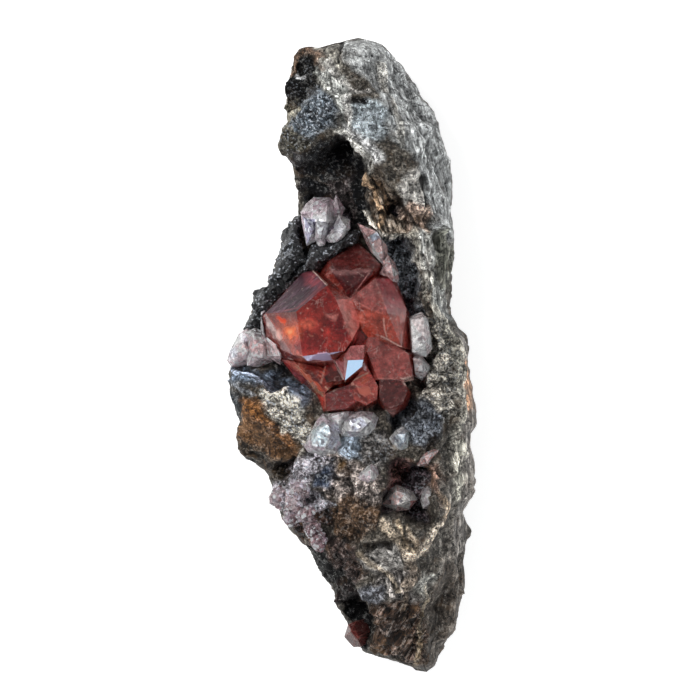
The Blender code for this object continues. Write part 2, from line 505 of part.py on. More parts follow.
    # The low left crystal with its long ridge, and a small one standing in the recess.
    wedge = [
        (-9.7, -1.1, 26.2), (-4.6, -6.4, 27.0), (-6.8, -1.3, 24.4), (-2.4, -3.5, 25.2),
        (-12.1, -0.6, 21.5), (-7.3, -5.7, 21.0), (-9.7, -3.7, 19.5), (-1.0, -2.8, 24.0),
        (-5.3, -7.4, 22.0), (-10.9, -0.8, root), (-7.5, -5.0, root), (-2.9, -5.5, root),
        (-2.0, -1.6, root), (-9.2, -0.4, root),
    ]
    recess = [
        (-4.4, -1.3, 25.6), (-3.1, -1.1, 27.0), (-1.4, -4.0, 28.4), (-2.0, -4.8, 26.5),
        (-4.4, -5.2, 25.5), (-5.6, -4.8, 25.2), (-5.1, -2.8, 25.0), (-4.6, -1.4, 20.0),
        (-1.2, -2.5, 20.0), (-1.2, -4.8, 20.0), (-5.1, -5.2, 20.0),
    ]
    # Two crystals at the lower edge, and the core that joins all of them.
    sole = facet((-4.4, -6.4, 27.2), (-0.2, -4.8, 28.2), (-1.2, -9.1, 25.2))
    toe = [
        sole(-4.4, -6.4), sole(-0.2, -4.8), sole(-1.2, -9.1), sole(0.9, -7.7),
        sole(-4.2, -9.3), (-5.3, -9.8, 20.5), (-0.2, -9.8, 20.5), (-6.1, -6.7, 21.0),
        (1.9, -7.9, 21.0), (-4.6, -6.9, root), (-0.3, -5.0, root), (0.7, -8.1, root),
        (-4.2, -9.1, root), (-1.0, -9.4, root),
    ]
    apron = facet((-0.3, -4.8, 27.8), (2.4, -1.6, 29.2), (4.2, -7.4, 26.6))
    knee = [
        apron(-0.3, -4.8), apron(2.4, -1.6), apron(4.2, -7.4), apron(4.4, -5.2),
        apron(2.4, -8.4), apron(0.3, -7.4), (4.9, -7.6, 21.0), (2.7, -9.1, 20.0),
        (-0.3, -8.1, 21.0), (-0.7, -4.8, 24.0), (0.5, -2.1, 18.0), (3.7, -2.5, 18.0),
        (4.4, -7.2, root), (0.2, -7.2, root), (2.4, -8.4, root),
    ]
    core = [
        (-1.0, 4.3, 27.2), (3.7, 4.3, 27.2), (3.7, -2.8, 26.6), (-1.0, -3.5, 26.4),
        (-1.0, 4.3, 15.0), (3.7, 4.3, 15.0), (3.7, -2.8, 15.0), (-1.0, -3.5, 15.0),
    ]
    return [main, right, flat, round_one, roof, spark, wedge, recess, toe, knee, core]


def black_crystals():
    """Corner lists of the black ore crystals that edge the pocket at its upper left."""
    column = gem([(-11.4, 22.0), (-10.2, 23.7), (-8.8, 23.9), (-8.2, 21.7), (-7.5, 17.9),
                  (-7.8, 15.9), (-9.5, 13.5), (-11.9, 10.8), (-13.9, 8.4), (-15.3, 8.8),
                  (-14.6, 11.6), (-12.9, 15.0), (-11.9, 18.6)], 14.5,
                 [(-10.0, 22.9, 18.4), (-9.0, 22.4, 18.0), (-8.5, 18.3, 20.6),
                  (-8.8, 15.9, 20.8), (-11.2, 13.0, 20.2), (-13.6, 9.9, 18.6),
                  (-11.6, 15.9, 18.4)], 9.0, (1.8, -0.6))
    knob = gem([(-17.3, 7.9), (-17.2, 8.9), (-16.3, 11.0), (-15.0, 12.0), (-12.9, 11.5),
                (-11.6, 9.9), (-12.9, 8.4), (-15.3, 7.4)], 14.0,
               [(-15.6, 10.1, 17.4), (-13.9, 9.9, 18.2), (-14.6, 8.8, 17.6)], 9.0, (2.6, -0.6))
    low_knob = gem([(-19.2, 3.7), (-17.9, 6.0), (-16.7, 8.1), (-15.0, 7.7), (-14.3, 6.4),
                    (-15.3, 4.3), (-17.3, 4.0)], 12.5,
                   [(-17.0, 6.4, 15.8), (-15.6, 6.4, 16.4), (-16.7, 4.8, 15.4)], 8.0,
                   (2.8, 0.0))
    bar = gem([(-8.8, 16.6), (-7.5, 17.9), (-5.4, 17.9), (-3.6, 19.1), (-1.7, 20.0),
               (0.3, 21.5), (1.4, 20.8), (0.9, 19.0), (-1.5, 17.6), (-4.1, 15.9),
               (-6.5, 14.5), (-8.5, 14.4)], 21.0,
              [(-6.8, 16.7, 24.2), (-4.1, 17.8, 24.8), (-1.2, 19.5, 25.0), (0.2, 20.3, 24.4),
               (-2.4, 17.9, 24.6), (-5.8, 15.9, 24.0)], 14.0)
    fillet = gem([(-9.4, 14.5), (-7.8, 15.9), (-6.8, 14.9), (-8.2, 13.9), (-10.9, 11.1),
                  (-12.9, 8.6), (-14.3, 8.1), (-12.9, 10.8)], 17.0,
                 [(-8.3, 14.9, 21.0), (-10.9, 12.3, 20.0)], 12.0)
    return [column, knob, low_knob, bar, fillet]


# Pale quartz, one entry for each group: rim outline, rim level, crown corners, root level.
QUARTZ = {
    "quartz_top": [
        ([(-8.8, 24.4), (-7.8, 25.9), (-6.5, 27.0), (-3.7, 26.9), (-2.6, 25.8), (-2.6, 22.7),
          (-4.6, 20.7), (-7.5, 21.3)], 19.5,
         [(-6.6, 24.7, 23.0), (-4.2, 25.4, 23.5), (-4.4, 22.7, 24.5), (-6.6, 22.7, 24.2)], 14.0),
        ([(-8.5, 22.4), (-8.7, 24.1), (-6.5, 24.2), (-5.8, 21.7), (-6.3, 19.3), (-7.7, 18.6)],
         21.5, [(-7.5, 22.5, 24.6), (-6.6, 21.3, 25.0), (-7.3, 19.6, 23.6)], 14.0),
        ([(-6.5, 21.3), (-6.0, 23.4), (-4.2, 22.7), (-4.1, 20.7), (-5.1, 19.1), (-6.3, 19.6)],
         23.0, [(-5.8, 22.0, 26.4), (-4.8, 22.0, 26.2), (-5.3, 20.1, 25.6)], 14.0),
        ([(-3.1, 22.0), (-2.2, 24.1), (-0.3, 23.0), (-0.3, 21.5), (-1.4, 20.3), (-2.9, 20.3)],
         22.5, [(-1.9, 23.0, 25.6), (-1.0, 21.8, 25.4)], 14.0),
        ([(-4.6, 20.0), (-3.4, 21.5), (-0.9, 21.3), (-1.2, 19.8), (-2.2, 18.6), (-3.7, 18.8)],
         23.0, [(-3.2, 20.7, 25.9), (-1.7, 20.5, 26.0), (-2.7, 19.3, 25.2)], 14.0),
        ([(-6.3, 19.8), (-4.6, 20.0), (-3.9, 18.6), (-4.8, 17.6), (-5.8, 18.3)], 21.5,
         [(-5.4, 19.1, 23.8), (-4.6, 18.8, 23.6)], 14.0),
        ([(-3.6, 25.4), (-2.7, 27.5), (-1.9, 26.3), (-1.2, 25.1), (-1.9, 23.4), (-3.3, 23.4)],
         20.0, [(-2.6, 26.6, 22.2), (-2.2, 24.9, 22.6)], 14.0),
    ],
    "quartz_upper": [
        ([(0.9, 22.5), (2.4, 21.7), (4.1, 21.3), (4.9, 20.0), (6.0, 18.6), (6.1, 16.9),
          (5.6, 15.0), (4.4, 14.9)], 21.5,
         [(2.7, 20.0, 24.8), (4.2, 21.0, 24.2), (4.8, 20.0, 24.6), (3.4, 18.8, 25.2),
          (5.4, 15.7, 23.8)], 14.0),
        ([(4.2, 13.9), (5.3, 15.9), (6.1, 17.1), (7.3, 15.7), (8.0, 13.9), (7.8, 11.8),
          (6.8, 11.1), (5.8, 13.0)], 23.5,
         [(5.8, 14.5, 27.8), (6.6, 15.2, 27.6), (7.0, 13.3, 27.4)], 14.0),
    ],
    "quartz_left": [
        ([(-21.4, -0.9), (-20.9, 0.9), (-19.4, 3.7), (-17.9, 4.7), (-16.3, 2.6),
          (-17.3, -1.4), (-19.4, -1.8), (-20.6, -2.0)], 15.5,
         [(-19.7, 0.6, 18.2), (-18.5, 2.3, 19.2), (-17.9, 0.6, 20.0), (-19.9, -0.8, 17.6)],
         10.0, (3.4, -0.8)),
        ([(-18.4, 4.0), (-16.5, 4.7), (-14.8, 4.0), (-13.6, 1.6), (-13.6, -1.1), (-16.0, -2.0),
          (-17.9, -1.8)], 17.5,
         [(-16.7, 3.0, 20.6), (-15.0, 1.6, 21.6), (-15.3, -0.4, 21.0), (-17.0, -0.1, 20.4)],
         11.0),
        ([(-15.5, 7.4), (-14.3, 7.9), (-12.9, 5.7), (-11.4, 2.3), (-10.7, -0.4), (-12.2, -1.6),
          (-14.6, -0.1), (-15.6, 4.0)], 19.5,
         [(-14.3, 5.4, 23.8), (-13.3, 5.2, 24.2), (-11.9, 2.3, 25.4), (-12.8, 2.0, 25.0),
          (-12.2, -0.1, 24.6)], 12.0),
    ],
    "quartz_right": [
        ([(9.4, 6.5), (11.7, 7.4), (12.8, 6.4), (13.3, 3.8), (13.6, 1.3), (12.6, -0.3),
          (9.9, 0.1)], 25.0,
         [(9.9, 6.0, 28.3), (11.9, 6.4, 28.8), (12.4, 2.3, 29.2), (10.2, 0.6, 28.6)], 16.0),
        ([(8.7, -0.6), (9.7, 0.4), (11.6, 0.3), (13.3, -1.8), (13.1, -3.1), (11.9, -4.2),
          (10.2, -3.5), (9.2, -2.1)], 23.5,
         [(9.7, -0.4, 27.2), (11.2, -0.6, 27.8), (12.1, -2.5, 27.2), (10.2, -2.6, 26.8)],
         16.0),
    ],
    "quartz_lower": [
        ([(-8.2, -15.4), (-7.3, -13.7), (-6.1, -11.1), (-4.9, -9.8), (-3.4, -11.0),
          (-2.4, -12.8), (-1.7, -15.0), (-2.6, -16.6), (-5.4, -17.1), (-7.5, -16.4)], 23.0,
         [(-5.8, -12.7, 26.2), (-4.1, -11.6, 26.0), (-3.6, -13.3, 26.8), (-4.8, -16.1, 25.8),
          (-6.8, -15.2, 25.4)], 16.0),
        ([(-4.9, -9.8), (-2.4, -8.8), (0.2, -8.9), (0.3, -10.6), (-1.7, -11.6),
          (-1.9, -13.9), (-3.1, -13.0)], 22.0,
         [(-3.4, -10.3, 25.2), (-1.2, -9.6, 25.2), (-2.4, -11.6, 25.2)], 16.0),
        ([(-2.2, -11.6), (-0.7, -10.1), (1.2, -9.3), (3.6, -9.6), (4.6, -10.6), (4.1, -12.5),
          (2.6, -14.0), (0.0, -14.0), (-1.9, -13.7)], 22.5,
         [(-0.3, -11.0, 26.2), (1.7, -10.1, 26.4), (3.2, -11.0, 26.2), (1.4, -12.8, 26.2),
          (-0.9, -12.8, 25.8)], 16.0),
    ],
    "quartz_chip_right": [
        ([(6.3, -14.0), (7.3, -12.8), (8.5, -12.0), (9.9, -12.5), (10.2, -14.0),
          (9.7, -15.6), (8.2, -16.1), (6.8, -15.0)], 24.2,
         [(7.7, -13.3, 26.8), (9.0, -13.2, 27.0), (8.7, -14.7, 26.6)], 18.0),
    ],
    "quartz_chip_middle": [
        ([(0.5, -21.2), (1.0, -19.8), (3.1, -18.4), (4.2, -18.8), (4.9, -20.7),
          (4.4, -21.8), (1.7, -22.4)], 24.6,
         [(1.5, -20.3, 26.6), (3.1, -19.3, 27.2), (3.2, -21.0, 27.0)], 18.0),
    ],
    "quartz_vug_pink": [
        ([(4.9, -25.4), (6.6, -24.1), (6.5, -22.7), (7.5, -22.0), (8.8, -22.4),
          (10.4, -23.2), (11.2, -24.6), (9.7, -26.3), (7.3, -26.6)], 20.0,
         [(7.5, -23.0, 23.6), (9.0, -23.4, 24.0), (9.9, -24.6, 23.4), (7.7, -25.4, 23.0)],
         14.0),
    ],
    "quartz_vug_clear": [
        ([(11.6, -24.7), (11.9, -23.4), (12.8, -22.2), (13.9, -22.7), (14.6, -24.6),
          (13.8, -26.1), (12.1, -26.1)], 21.0,
         [(12.4, -23.4, 24.9), (13.3, -23.5, 25.3), (13.1, -25.1, 24.8)], 15.0),
    ],
    "quartz_vug_upper": [
        ([(10.9, -17.8), (12.2, -16.2), (13.8, -15.7), (14.8, -16.1), (14.3, -17.3),
          (13.3, -18.8), (11.1, -18.8)], 23.4,
         [(12.2, -17.1, 26.6), (13.6, -16.4, 26.6), (12.6, -18.1, 26.2)], 17.0),
    ],
}
# The pink crust low on the left side: across, along, radius of each small crystal.
CRUST_GRAINS = [
    (-12.0, -24.2, 2.1), (-9.6, -25.0, 1.9), (-8.9, -22.7, 1.9), (-10.0, -27.5, 1.7),
    (-7.6, -27.0, 1.8), (-6.6, -29.4, 1.7), (-5.6, -31.8, 1.6),
]
CRUST_SIT = 0.3             # how far each of them stands above the rock's own surface
CRUST_ROOT = 1.6            # each reaches this many radii down into the rock
CRUST_RISE = 0.9            # and tapers over this many radii
CRUST_TOP = 0.45            # to a top of this share of its width
CRUST_TURN = 0.7            # radians that each is turned on from the one before
FOOT_CRYSTAL = gem([(-1.4, -48.4), (-0.7, -46.2), (0.7, -45.6), (1.7, -47.7), (1.5, -50.1),
                    (0.2, -50.2)], 12.5, [(-0.2, -47.3, 14.8), (0.7, -48.4, 14.8)], 8.0,
                   (3.6, 1.0))


# ---------------------------------------------------------------- objects

def mesh_object(name, mesh):
    """Put a mesh into the scene as an object of its own."""
    data = bpy.data.meshes.new(name)
    mesh.to_mesh(data)
    mesh.free()
    made = bpy.data.objects.new(name, data)
    bpy.context.scene.collection.objects.link(made)
    return made


def boolean(body, other, operation):
    """Join or cut `body` with `other`, keep its largest piece, and remove `other`."""
    step = body.modifiers.new(operation, "BOOLEAN")
    step.operation = operation
    step.solver = "EXACT"
    step.object = other
    depsgraph = bpy.context.evaluated_depsgraph_get()
    data = bpy.data.meshes.new_from_object(body.evaluated_get(depsgraph))
    body.modifiers.remove(step)
    body.data = data
    bpy.data.objects.remove(other)
    tidy(body)


def smaller_parts(mesh):
    """Faces of every connected part but the one with the most faces."""
    waiting = dict.fromkeys(mesh.faces)
    parts = []
    while waiting:
        first = next(iter(waiting))
        del waiting[first]
        reached, part = [first], []
        while reached:
            face = reached.pop()
            part.append(face)
            for edge in face.edges:
                for neighbour in edge.link_faces:
                    if neighbour in waiting:
                        del waiting[neighbour]
                        reached.append(neighbour)
        parts.append(part)
    parts.sort(key=len)
    return [face for part in parts[:-1] for face in part]


def tidy(body):
    """Weld stray points, drop crumbs left by a cut, and join faces that lie in one plane."""
    mesh = bmesh.new()
    mesh.from_mesh(body.data)
    bmesh.ops.remove_doubles(mesh, verts=mesh.verts[:], dist=WELD)
    bmesh.ops.dissolve_degenerate(mesh, dist=WELD, edges=mesh.edges[:])
    crumbs = smaller_parts(mesh)
    if crumbs:
        bmesh.ops.delete(mesh, geom=crumbs, context="FACES")
    bmesh.ops.dissolve_limit(mesh, angle_limit=SAME_PLANE, verts=mesh.verts[:],
                             edges=mesh.edges[:])
    mesh.to_mesh(body.data)
    mesh.free()


def group(name, corner_lists):
    """One solid from crystals that have grown into each other."""
    body = mesh_object(name, hull(corner_lists[0]))
    for corners in corner_lists[1:]:
        boolean(body, mesh_object("joined", hull(corners)), "UNION")
    return body


def cut_room(body, corner_lists):
    """Cut the beds of other crystals, with their clearance, out of a body."""
    for corners in corner_lists:
        boolean(body, mesh_object("bed", grown(corners, CLEARANCE)), "DIFFERENCE")


def surface_below(tree, across, along):
    """Point of the surface that lies straight below, and the way that it faces."""
    place, outward, _, _ = tree.ray_cast(Vector((across, along, SKY)), Vector((0, 0, -1)))
    return place, outward


def material(name, colour, roughness, metallic=0.0):
    """A plain Principled material in the piece's own colour."""
    made = bpy.data.materials.new(name)
    made.use_nodes = True
    shader = made.node_tree.nodes["Principled BSDF"]
    shader.inputs["Base Color"].default_value = (*colour, 1.0)
    shader.inputs["Roughness"].default_value = roughness
    shader.inputs["Metallic"].default_value = metallic
    return made


def finish(body, collection, look):
    """Triangulate, scale to metres, give the finish and file it in the collection."""
    mesh = bmesh.new()
    mesh.from_mesh(body.data)
    bmesh.ops.triangulate(mesh, faces=mesh.faces[:])
    mesh.transform(Matrix.Scale(METRES, 4))
    mesh.to_mesh(body.data)
    mesh.free()
    body.data.materials.clear()
    body.data.materials.append(look)
    for owner in list(body.users_collection):
        owner.objects.unlink(body)
    collection.objects.link(body)
    body.data.shade_smooth()
    body.data.set_sharp_from_angle(angle=SEAM_ANGLE)


def build():
    """Make every piece, bed the crystals in the rock, and finish them."""
    for old in list(bpy.data.objects):
        bpy.data.objects.remove(old, do_unlink=True)
    collection = bpy.data.collections.new(NAME)
    bpy.context.scene.collection.children.link(collection)
    stone = material("ore_rock", (0.12, 0.105, 0.09), 0.72)
    red = material("rhodochrosite", (0.42, 0.05, 0.045), 0.15)
    pale = material("pale_quartz", (0.72, 0.60, 0.60), 0.25)
    pink = material("pink_crust", (0.50, 0.33, 0.34), 0.35)
    ore = material("black_ore", (0.03, 0.032, 0.036), 0.35, 0.5)

    rock = build_rock()
    red_list, black_list = red_crystals(), black_crystals()
    reds = group("rhodochrosite_crystals", red_list)
    blacks = group("black_ore_crystals", black_list)
    cut_room(blacks, red_list)

    pale_lists = {name: [gem(*entry) for entry in entries] for name, entries in QUARTZ.items()}
    quartz = []
    for name, corner_lists in pale_lists.items():
        piece = group(name, corner_lists)
        cut_room(piece, red_list)
        cut_room(piece, black_list)
        quartz.append(piece)

    bare_rock = BVHTree.FromPolygons([v.co.copy() for v in rock.data.vertices],
                                     [tuple(p.vertices) for p in rock.data.polygons])
    grains = []
    for number, (across, along, radius) in enumerate(CRUST_GRAINS):
        place, outward = surface_below(bare_rock, across, along)
        grains.append(grain(place, outward, radius, CRUST_TURN * number))
    crust = group("pink_quartz_crust", grains)
    foot = group("rhodochrosite_foot", [FOOT_CRYSTAL])

    beds = [*red_list, *black_list, *grains, FOOT_CRYSTAL]
    for corner_lists in pale_lists.values():
        beds.extend(corner_lists)
    cut_room(rock, beds)

    finish(rock, collection, stone)
    finish(reds, collection, red)
    finish(foot, collection, red)
    finish(blacks, collection, ore)
    finish(crust, collection, pink)
    for piece in quartz:
        finish(piece, collection, pale)


build()
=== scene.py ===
"""Looks of the rhodochrosite cluster: its rock and crystals, the floor, light and camera."""

import math

import bmesh
import bpy
import numpy as np
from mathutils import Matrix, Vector
from mathutils.bvhtree import BVHTree


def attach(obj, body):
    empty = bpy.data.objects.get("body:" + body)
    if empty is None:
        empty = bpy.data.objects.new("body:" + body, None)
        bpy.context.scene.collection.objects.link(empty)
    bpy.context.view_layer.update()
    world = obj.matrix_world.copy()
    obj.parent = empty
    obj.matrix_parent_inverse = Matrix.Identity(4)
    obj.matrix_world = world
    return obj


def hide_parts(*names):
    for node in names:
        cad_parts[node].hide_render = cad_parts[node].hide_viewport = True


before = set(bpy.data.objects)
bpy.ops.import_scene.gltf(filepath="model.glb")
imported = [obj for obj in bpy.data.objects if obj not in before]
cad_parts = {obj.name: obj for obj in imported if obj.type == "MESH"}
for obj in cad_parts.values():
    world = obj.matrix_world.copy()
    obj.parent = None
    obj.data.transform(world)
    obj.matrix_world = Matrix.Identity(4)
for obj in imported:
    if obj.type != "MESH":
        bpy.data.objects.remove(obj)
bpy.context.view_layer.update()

# ------------------------------------------------------------------ the ore rock
# A long broken piece of dark manganese and iron ore, shaped by hammer and weather: rough and
# pitted in front, smoother down the right flank, with a black cavity above the crystals.
# One skin over ten long guide lines, in millimetres, as in the solid under it.

METRES = 0.001
# Where all guide lines meet at the two ends: across, along, up.
LOW_END = (12.9, -54.7, 8.0)
HIGH_END = (1.0, 54.5, 14.0)

# Each guide is a row of (along, across, up).
LEFT_SIDE = [
    (-53.6, 10.5, 7.0), (-51.6, 3.9, 7.0), (-49.6, 1.0, 8.0), (-45.5, -0.9, 9.0),
    (-41.4, -2.6, 9.5), (-37.3, -5.5, 10.0), (-33.2, -7.5, 10.0), (-29.2, -10.2, 10.0),
    (-25.1, -12.8, 10.5), (-21.0, -14.0, 11.0), (-16.9, -17.0, 11.0), (-12.8, -18.9, 11.0),
    (-8.8, -20.0, 11.0), (-4.7, -20.6, 11.0), (-0.6, -19.8, 10.5), (3.5, -17.3, 10.0),
    (7.6, -15.8, 10.0), (11.6, -14.2, 10.0), (15.7, -12.1, 11.0), (19.8, -10.5, 12.0),
    (23.9, -9.4, 12.0), (28.0, -9.1, 12.0), (32.0, -9.9, 13.0), (36.1, -11.4, 13.0),
    (40.2, -10.4, 13.0), (44.3, -10.4, 13.0), (48.4, -10.2, 13.0), (50.6, -9.4, 12.5),
    (52.3, -7.8, 12.5), (53.0, -5.2, 12.5), (53.8, -2.0, 13.0),
]
RIGHT_SIDE = [
    (-53.6, 14.2, 7.5), (-51.6, 15.1, 7.5), (-49.6, 15.8, 8.0), (-47.5, 17.3, 8.0),
    (-43.4, 18.6, 8.0), (-37.3, 19.5, 8.5), (-31.2, 20.1, 8.5), (-27.1, 19.4, 8.5),
    (-23.0, 20.5, 9.0), (-19.0, 21.1, 9.0), (-14.9, 20.6, 9.0), (-10.8, 20.8, 9.5),
    (-6.7, 20.6, 10.0), (-2.6, 20.1, 10.0), (1.4, 20.1, 10.0), (5.5, 18.0, 10.5),
    (7.6, 17.2, 11.0), (11.6, 17.1, 11.0), (17.8, 17.6, 11.0), (23.9, 17.0, 11.0),
    (30.0, 16.7, 11.0), (36.1, 15.6, 10.5), (40.2, 14.3, 10.5), (44.3, 12.2, 10.5),
    (48.4, 9.9, 10.5), (50.6, 7.8, 11.0), (52.4, 6.2, 12.0),
    (53.4, 5.2, 12.5), (54.0, 3.4, 13.0),
]
LEFT_RIM = [
    (-52.0, 6.6, 11.0), (-49.0, 3.6, 13.5), (-45.0, 1.6, 16.0), (-41.0, -0.5, 17.0),
    (-37.0, -3.3, 18.0), (-33.0, -5.3, 18.5), (-29.0, -8.0, 18.5), (-25.0, -10.2, 18.0),
    (-21.0, -9.8, 20.5), (-16.9, -9.6, 22.4), (-12.8, -13.0, 22.2), (-8.8, -17.2, 20.6),
    (-4.7, -18.8, 18.0), (-0.6, -18.4, 14.0), (3.5, -16.0, 12.5), (7.6, -14.4, 12.5),
    (11.6, -12.8, 12.8), (16.0, -10.8, 13.8), (20.0, -9.2, 15.0), (24.0, -8.2, 16.0),
    (28.0, -8.0, 16.5), (32.0, -8.7, 18.0), (36.1, -9.9, 19.5), (40.0, -8.9, 20.0),
    (44.0, -8.9, 19.8), (48.4, -8.8, 18.5), (52.0, -5.4, 16.5),
]
FRONT_LEFT = [
    (-52.0, 9.4, 13.0), (-49.0, 7.0, 16.5), (-45.0, 4.8, 18.5), (-41.0, 3.0, 20.0),
    (-37.0, 1.5, 21.5), (-33.0, 0.0, 22.3), (-29.0, -2.6, 22.3), (-25.0, -4.2, 22.8),
    (-21.0, -4.0, 23.2), (-16.9, -5.2, 23.5), (-12.8, -7.0, 23.4), (-8.8, -9.4, 21.8),
    (-4.7, -11.0, 17.5), (-0.6, -11.0, 16.0), (3.5, -10.0, 15.0), (7.6, -9.0, 15.0),
    (12.0, -7.0, 15.5), (16.0, -5.2, 17.0), (20.0, -4.2, 18.0), (24.0, -5.0, 17.5),
    (28.0, -5.0, 18.0), (32.0, -5.4, 21.5), (36.0, -5.6, 24.0), (40.0, -4.5, 25.0),
    (44.0, -4.5, 24.8), (48.0, -5.4, 23.6), (52.0, -3.2, 20.5),
]
CREST = [
    (-52.0, 11.1, 14.6), (-49.0, 9.6, 18.8), (-45.0, 7.5, 21.3), (-41.0, 6.3, 23.0),
    (-37.0, 5.5, 24.3), (-33.0, 4.5, 25.0), (-29.0, 3.2, 25.2), (-25.0, 2.5, 25.2),
    (-21.0, 2.5, 25.0), (-16.9, 3.0, 24.5), (-12.8, 3.0, 23.3), (-8.8, 2.5, 20.5),
    (-4.7, 2.0, 18.0), (-0.6, 1.5, 17.0), (3.5, 1.5, 16.5), (7.6, 1.5, 16.5),
    (12.0, 2.0, 17.0), (16.0, 3.0, 19.0), (20.0, 4.0, 21.5), (24.0, 4.5, 24.5),
    (28.0, 3.8, 26.5), (32.0, 2.8, 28.3), (36.0, 1.8, 29.0), (40.0, 0.6, 28.6),
    (44.0, -0.4, 28.2), (48.0, -0.5, 27.3), (52.0, 0.5, 23.4),
]
FRONT_RIGHT = [
    (-52.0, 12.1, 14.4), (-49.0, 11.3, 19.0), (-45.0, 9.8, 22.0), (-41.0, 8.8, 23.5),
    (-37.0, 8.3, 25.0), (-33.0, 8.0, 26.0), (-29.0, 8.6, 26.0), (-25.0, 9.0, 25.0),
    (-21.0, 9.0, 24.5), (-16.9, 9.5, 24.7), (-12.8, 10.0, 24.2), (-8.8, 11.0, 23.0),
    (-4.7, 12.0, 22.0), (-0.6, 12.4, 21.5), (3.5, 11.6, 21.0), (7.6, 10.8, 20.5),
    (12.0, 10.5, 21.0), (16.0, 10.0, 22.5), (20.0, 9.6, 25.5), (24.0, 9.2, 27.4),
    (28.0, 9.0, 28.0), (32.0, 8.8, 28.2), (36.0, 8.0, 28.2), (40.0, 6.5, 27.8),
    (44.0, 5.0, 27.4), (48.0, 4.4, 26.0), (52.0, 3.5, 22.0),
]
RIDGE = [
    (-53.5, 12.9, 12.0), (-48.4, 12.6, 18.3), (-41.6, 10.9, 22.0), (-34.8, 10.9, 24.0),
    (-28.0, 12.9, 24.5), (-24.6, 14.1, 25.0), (-16.1, 15.0, 24.2), (-12.7, 15.8, 23.5),
    (-7.6, 16.2, 24.0), (-2.5, 15.8, 24.0), (4.3, 15.0, 24.0), (9.4, 13.8, 25.0),
    (17.9, 14.4, 25.0), (26.4, 13.6, 24.0), (34.9, 12.4, 23.4), (43.4, 9.0, 23.0),
    (52.3, 5.2, 18.0),
]
FOOT_INSET_LEFT = 5.5       # how far the underside is tucked in from the left side
FOOT_INSET_RIGHT = 4.5      # and from the right side
FOOT_INSET_SHARE = 0.25     # but by no more than this share of the width there
FOOT_DEPTH = -2.4           # the underside is laid this low, then pressed flat at 0
FOOT_TAPER = 44.0           # beyond this distance from the middle the underside rises
FOOT_RISE = 0.75            # millimetres up for each millimetre along, past that
FOOT_HEIGHT_SHARE = 0.7     # but to no more than this share of the height of the sides
FOOT_EVENING = 14           # it follows the sides, evened over a 14th of the rows either way

ROWS = 396                  # stations along the rock
END_CROWDING = 0.6          # how much closer together the stations are near the two ends
SPANS = (16, 24, 34, 40, 40, 28, 28, 16, 7, 7)      # strips between neighbouring guides
HOLLOW_LIP = 1.3            # width of the slope at the edge of a hollow
LUMP_LIP = 1.9              # and at the edge of a lump
EDGE_WANDER = 0.45          # how far those edges wander
CHIP_OFFSET = 0.8           # how far the broken faces start apart in height, in their size

# Hollows sunk to a level: outline (across, along) and level of the floor.
HOLLOWS = {
    "shoulder hollow": ([(-9.4, 48.5), (-8.3, 50.7), (-6.6, 50.9), (-4.1, 48.2), (-4.3, 45.1),
        (-6.5, 44.8), (-7.8, 42.8), (-9.6, 42.0), (-10.6, 44.1), (-10.6, 47.2)], 15.5),
    "black cavity": ([(-3.1, 36.6), (-1.2, 36.5), (0.9, 34.9), (2.4, 32.7), (3.2, 29.8),
        (3.6, 25.6), (3.1, 22.4), (0.7, 21.5), (-2.9, 21.5), (-8.5, 24.0), (-8.8, 29.8),
        (-9.0, 32.6), (-5.1, 33.2), (-4.1, 34.9)], 16.0),
    "brown cleft": ([(3.4, 32.7), (4.8, 32.0), (5.8, 29.5), (7.5, 27.1), (8.5, 25.6), (9.2, 22.7),
        (11.2, 20.7), (10.2, 19.5), (7.5, 20.8), (4.4, 22.7), (3.6, 25.6)], 22.0),
    "cleft core": ([(5.3, 26.3), (7.8, 26.3), (8.8, 24.4), (7.8, 22.7), (5.8, 24.1)], 18.5),
    "right pocket": ([(5.8, 21.0), (8.2, 19.6), (10.5, 17.9), (11.6, 14.5), (10.9, 11.1),
        (11.4, 9.4), (10.2, 7.4), (7.5, 8.0), (6.5, 12.0), (5.8, 18.6)], 17.0),
    "slot": ([(6.5, -10.6), (8.8, -8.9), (10.2, -7.2), (10.9, -8.2), (9.2, -10.3), (7.5, -12.3)],
        18.0),
    "vug": ([(6.1, -19.8), (7.3, -18.3), (9.9, -18.8), (12.4, -18.4), (13.4, -19.5), (13.3, -22.2),
        (12.6, -24.2), (12.9, -26.6), (13.3, -28.3), (11.6, -28.8), (8.5, -28.0), (5.4, -26.6),
        (4.4, -25.4), (6.1, -23.2)], 16.0),
    "foot hollow": ([(-1.2, -41.6), (1.0, -41.1), (2.4, -42.6), (3.4, -45.8), (3.7, -48.4),
        (3.6, -50.4), (2.0, -50.2), (0.7, -49.2), (-0.3, -45.0)], 11.0),
    "block foot": ([(-13.8, -20.0), (-10.2, -17.4), (-9.0, -18.8), (-12.2, -21.6)], 16.0),
}
